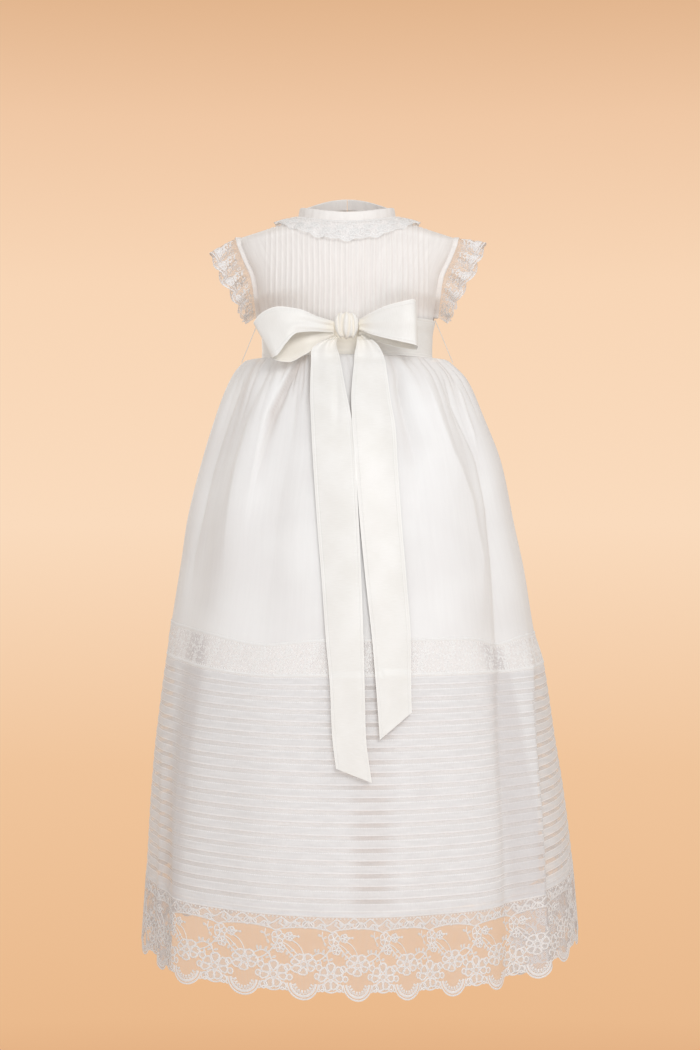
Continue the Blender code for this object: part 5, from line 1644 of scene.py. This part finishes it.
# z at the right and the left edge, x at both, and y up to row 3 or the lift over the skirt from row 4 on
tails = {
    "bowTailRight": metres(
        (-127, -129, -17, -12.2, -75), (-136.5, -137, -33, -14, -80), (-142, -143, -38.5, -12.8, -85.5),
        (-147.5, -147.5, -39.5, -11.2, -90), (-156, -156, -39.5, -9.5, 3.5), (-183, -183, -40.1, -4.8, 2.6),
        (-221, -221, -38.6, 2.4, 2.2), (-257, -257, -36.6, 5.2, 2), (-315, -315, -32.5, 8.4, 1.3),
        (-375, -375, -27.5, 11, 1.1), (-433, -433, -23.1, 13, 2.5), (-475, -475, -19.2, 14, 3),
        (-520, -520, -17.2, 15, 3.5), (-553, -566, -13.3, 20.6, 4)),
    "bowTailLeft": metres(
        (-129, -126, 7.2, 14, -75), (-137, -136, 6.6, 27, -80), (-143, -142, 5.5, 31, -85.5),
        (-147.5, -147.5, 4.6, 33.5, -90), (-156, -156, 4.2, 35.7, 3.5), (-193, -193, 1.2, 40.5, 2.4),
        (-226, -226, 2.6, 45.6, 2), (-257, -257, 5, 47, 1.8), (-315, -315, 9.4, 50.5, 1.8),
        (-375, -375, 15.2, 55, 2), (-433, -433, 21.5, 58.8, 2.2), (-475, -475, 24.9, 58.8, 3),
        (-526, -501, 28.5, 59.2, 4))}
tailSettings = {"perRow": 14, "across": 21, "standsOff": 0.0008, "wave": 0.0007, "gather": 0.0016,
                "smoothing": 6,
                # how far down and how far in front the ribbon bridges the shoulder of the gathers
                "bridge": ((0.132, 0.15, 0.178), (0.084, 0.0915, 0.1055)),
                # where the gathers start, and a dimple: x, z, depth, half breadth and half height
                "bowTailRight": (2.2, -0.013, -0.195, 0.003, 0.0022, 0.016),
                "bowTailLeft": (0.6, 0.023, -0.19, 0.0024, 0.004, 0.02)}


def skirtFrontDepth(x, level):
    halfWidth, _, _, lean, _, _ = skirt(level)
    azimuth = np.degrees(np.arcsin((x - lean) / halfWidth))
    return skirtForm(azimuth, level, np.where(level < insertionBottom + 0.004, 0.0012, 0), False)[..., 1]


def makeTail(name):
    start, dimpleX, dimpleZ, dimple, wide, tall = tailSettings[name]
    last = len(tails[name]) - 1
    place = down(last * tailSettings["perRow"] + 1, 0, last)
    share = np.linspace(0, 1, tailSettings["across"])[None, :]
    table = smoothTable(tails[name])
    rightZ, leftZ, rightX, leftX, _ = table(place)
    x, z = mix(rightX, leftX, share), mix(rightZ, leftZ, share)
    depth, lift = table(np.clip(place, 0, 3))[4], table(np.maximum(place, 4))[4]
    y = mix(depth, skirtFrontDepth(x, np.minimum(z, -0.148)) - np.maximum(lift, 0.001), ramp(place, 3, 1))
    wave = (1 + np.sin(place * 1.35 + share * 2.2)) * np.sin(place / last * math.pi) ** 0.5
    y = y - tailSettings["standsOff"] - tailSettings["wave"] * wave
    y = y + 0.6 * dimple * bell((x - dimpleX) / wide) * bell((z - dimpleZ) / tall)
    reach, ahead = tailSettings["bridge"]
    y = np.where((z < -reach[0]) & (z > -reach[-1]), np.minimum(y, -np.interp(-z, reach, ahead)), y)
    # its bend is soft
    margin = tailSettings["smoothing"]
    padded = np.pad(y, ((margin, margin), (0, 0)), mode="edge")
    even = sum(padded[step:step + len(y)] for step in range(2 * margin + 1)) / (2 * margin + 1)
    y = mix(y, even, np.exp(-((place - 3.6) / 1.6) ** 4))
    # gathers that leave the knot
    y = y - tailSettings["gather"] * ramp(place, 7, -7) ** 1.5 * np.sin(share * 11 + start)
    points = stack(x, y, z)
    # painted warm shade near the knot
    values = {"edgeAway": edgeAway(share), "warm": warmShadeNear(points, 0.03) * 0.7}
    return addPiece(name, points, "satin", False, values)


sash, knot = makeSash(), makeKnot()
knot.visible_shadow = False
declare(sash, "satin", ["sash_band"])
declare(knot, "satin", ["bow_knot"])
for make, part, held, lengths in ((makeLoop, "loop", "folded", (0.16, 0.135)),
                                  (makeTail, "tail", "hung", (0.44, 0.405))):
    for side, length in zip(("right", "left"), lengths):
        declare(make("bow" + part.capitalize() + side.capitalize()), "satin", ["bow_%s_%s" % (part, side)])
print("sash and bow ready")


# belt threads and buttons

threadSettings = {"radius": 0.0004, "top": (0.093, -0.002, -0.1037), "bend": (0.0985, -0.002, -0.1165),
                  "footAzimuth": 88, "footLevel": -0.15, "clear": 0.0007, "points": 13}


def makeThread(side, sign):
    name = "beltThread" + side
    top, bend = (np.array((x * sign + bodiceLean, y, z)) for x, y, z in (threadSettings["top"],
                                                                         threadSettings["bend"]))
    clear = threadSettings["clear"]
    foot = skirtForm(sign * threadSettings["footAzimuth"], threadSettings["footLevel"], 0, False)
    foot = foot + np.array((sign * clear, 0, clear))
    t = down(threadSettings["points"])
    path = top * (1 - t) ** 2 + bend * 2 * t * (1 - t) + foot * t * t
    curve = bpy.data.curves.new(name, "CURVE")
    curve.dimensions = "3D"
    curve.bevel_depth = threadSettings["radius"]
    curve.bevel_resolution = 3
    curve.use_fill_caps = True
    spline = curve.splines.new("POLY")
    spline.points.add(len(path) - 1)
    for place, point in zip(spline.points, path):
        place.co = (*point, 1)
    curve.materials.append(finishes["thread"])
    thread = addObject(name, curve)
    attach(thread, "thread", "belt_thread_" + side.lower())
    [float(value) for value in path[0]]
    float(lengthAlong(path)[-1])


buttonSettings = {"rises": (2.45, 3.35, 4.25), "inset": 7, "clear": 0.0003, "columns": 40, "step": 0.05,
                  # radius and height of the turned profile, from the middle of the face to the shank
                  "profile": metres((0, 1.85), (1.2, 1.85), (2.2, 1.8), (2.9, 1.75), (3.2, 1.9), (3.7, 2),
                                    (4.2, 1.8), (4.5, 1.3), (4.4, 0.7), (3.9, 0.3), (3, 0), (0, 0))}


def makeButton(number, rise):
    inset, step = buttonSettings["inset"], buttonSettings["step"]
    seat = bodiceForm(inset, rise, True)
    around = bodiceForm(inset + 1, rise, True) - bodiceForm(inset - 1, rise, True)
    up = unit(bodiceForm(inset, rise + step, True) - bodiceForm(inset, rise - step, True))
    outward = unit(np.cross(up, around))
    across = np.cross(outward, up)
    turn = np.linspace(0, circle, buttonSettings["columns"], endpoint=False)[:, None]
    ring = up * np.cos(turn) + across * np.sin(turn)
    points = np.stack([seat + outward * (buttonSettings["clear"] + height) + ring * radius
                       for radius, height in buttonSettings["profile"]])
    if np.dot(np.cross(points[4, 0] - points[3, 0], points[4, 1] - points[4, 0]), outward) < 0:
        points = points[:, ::-1]
    button = closeUp(addPiece("backButton%d" % number, points, "button", True))
    attach(button, "button", "back_button_%d" % number)


makeThread("Right", -1)
makeThread("Left", 1)
for number, rise in enumerate(buttonSettings["rises"], start=1):
    makeButton(number, rise)
print("threads and buttons ready")
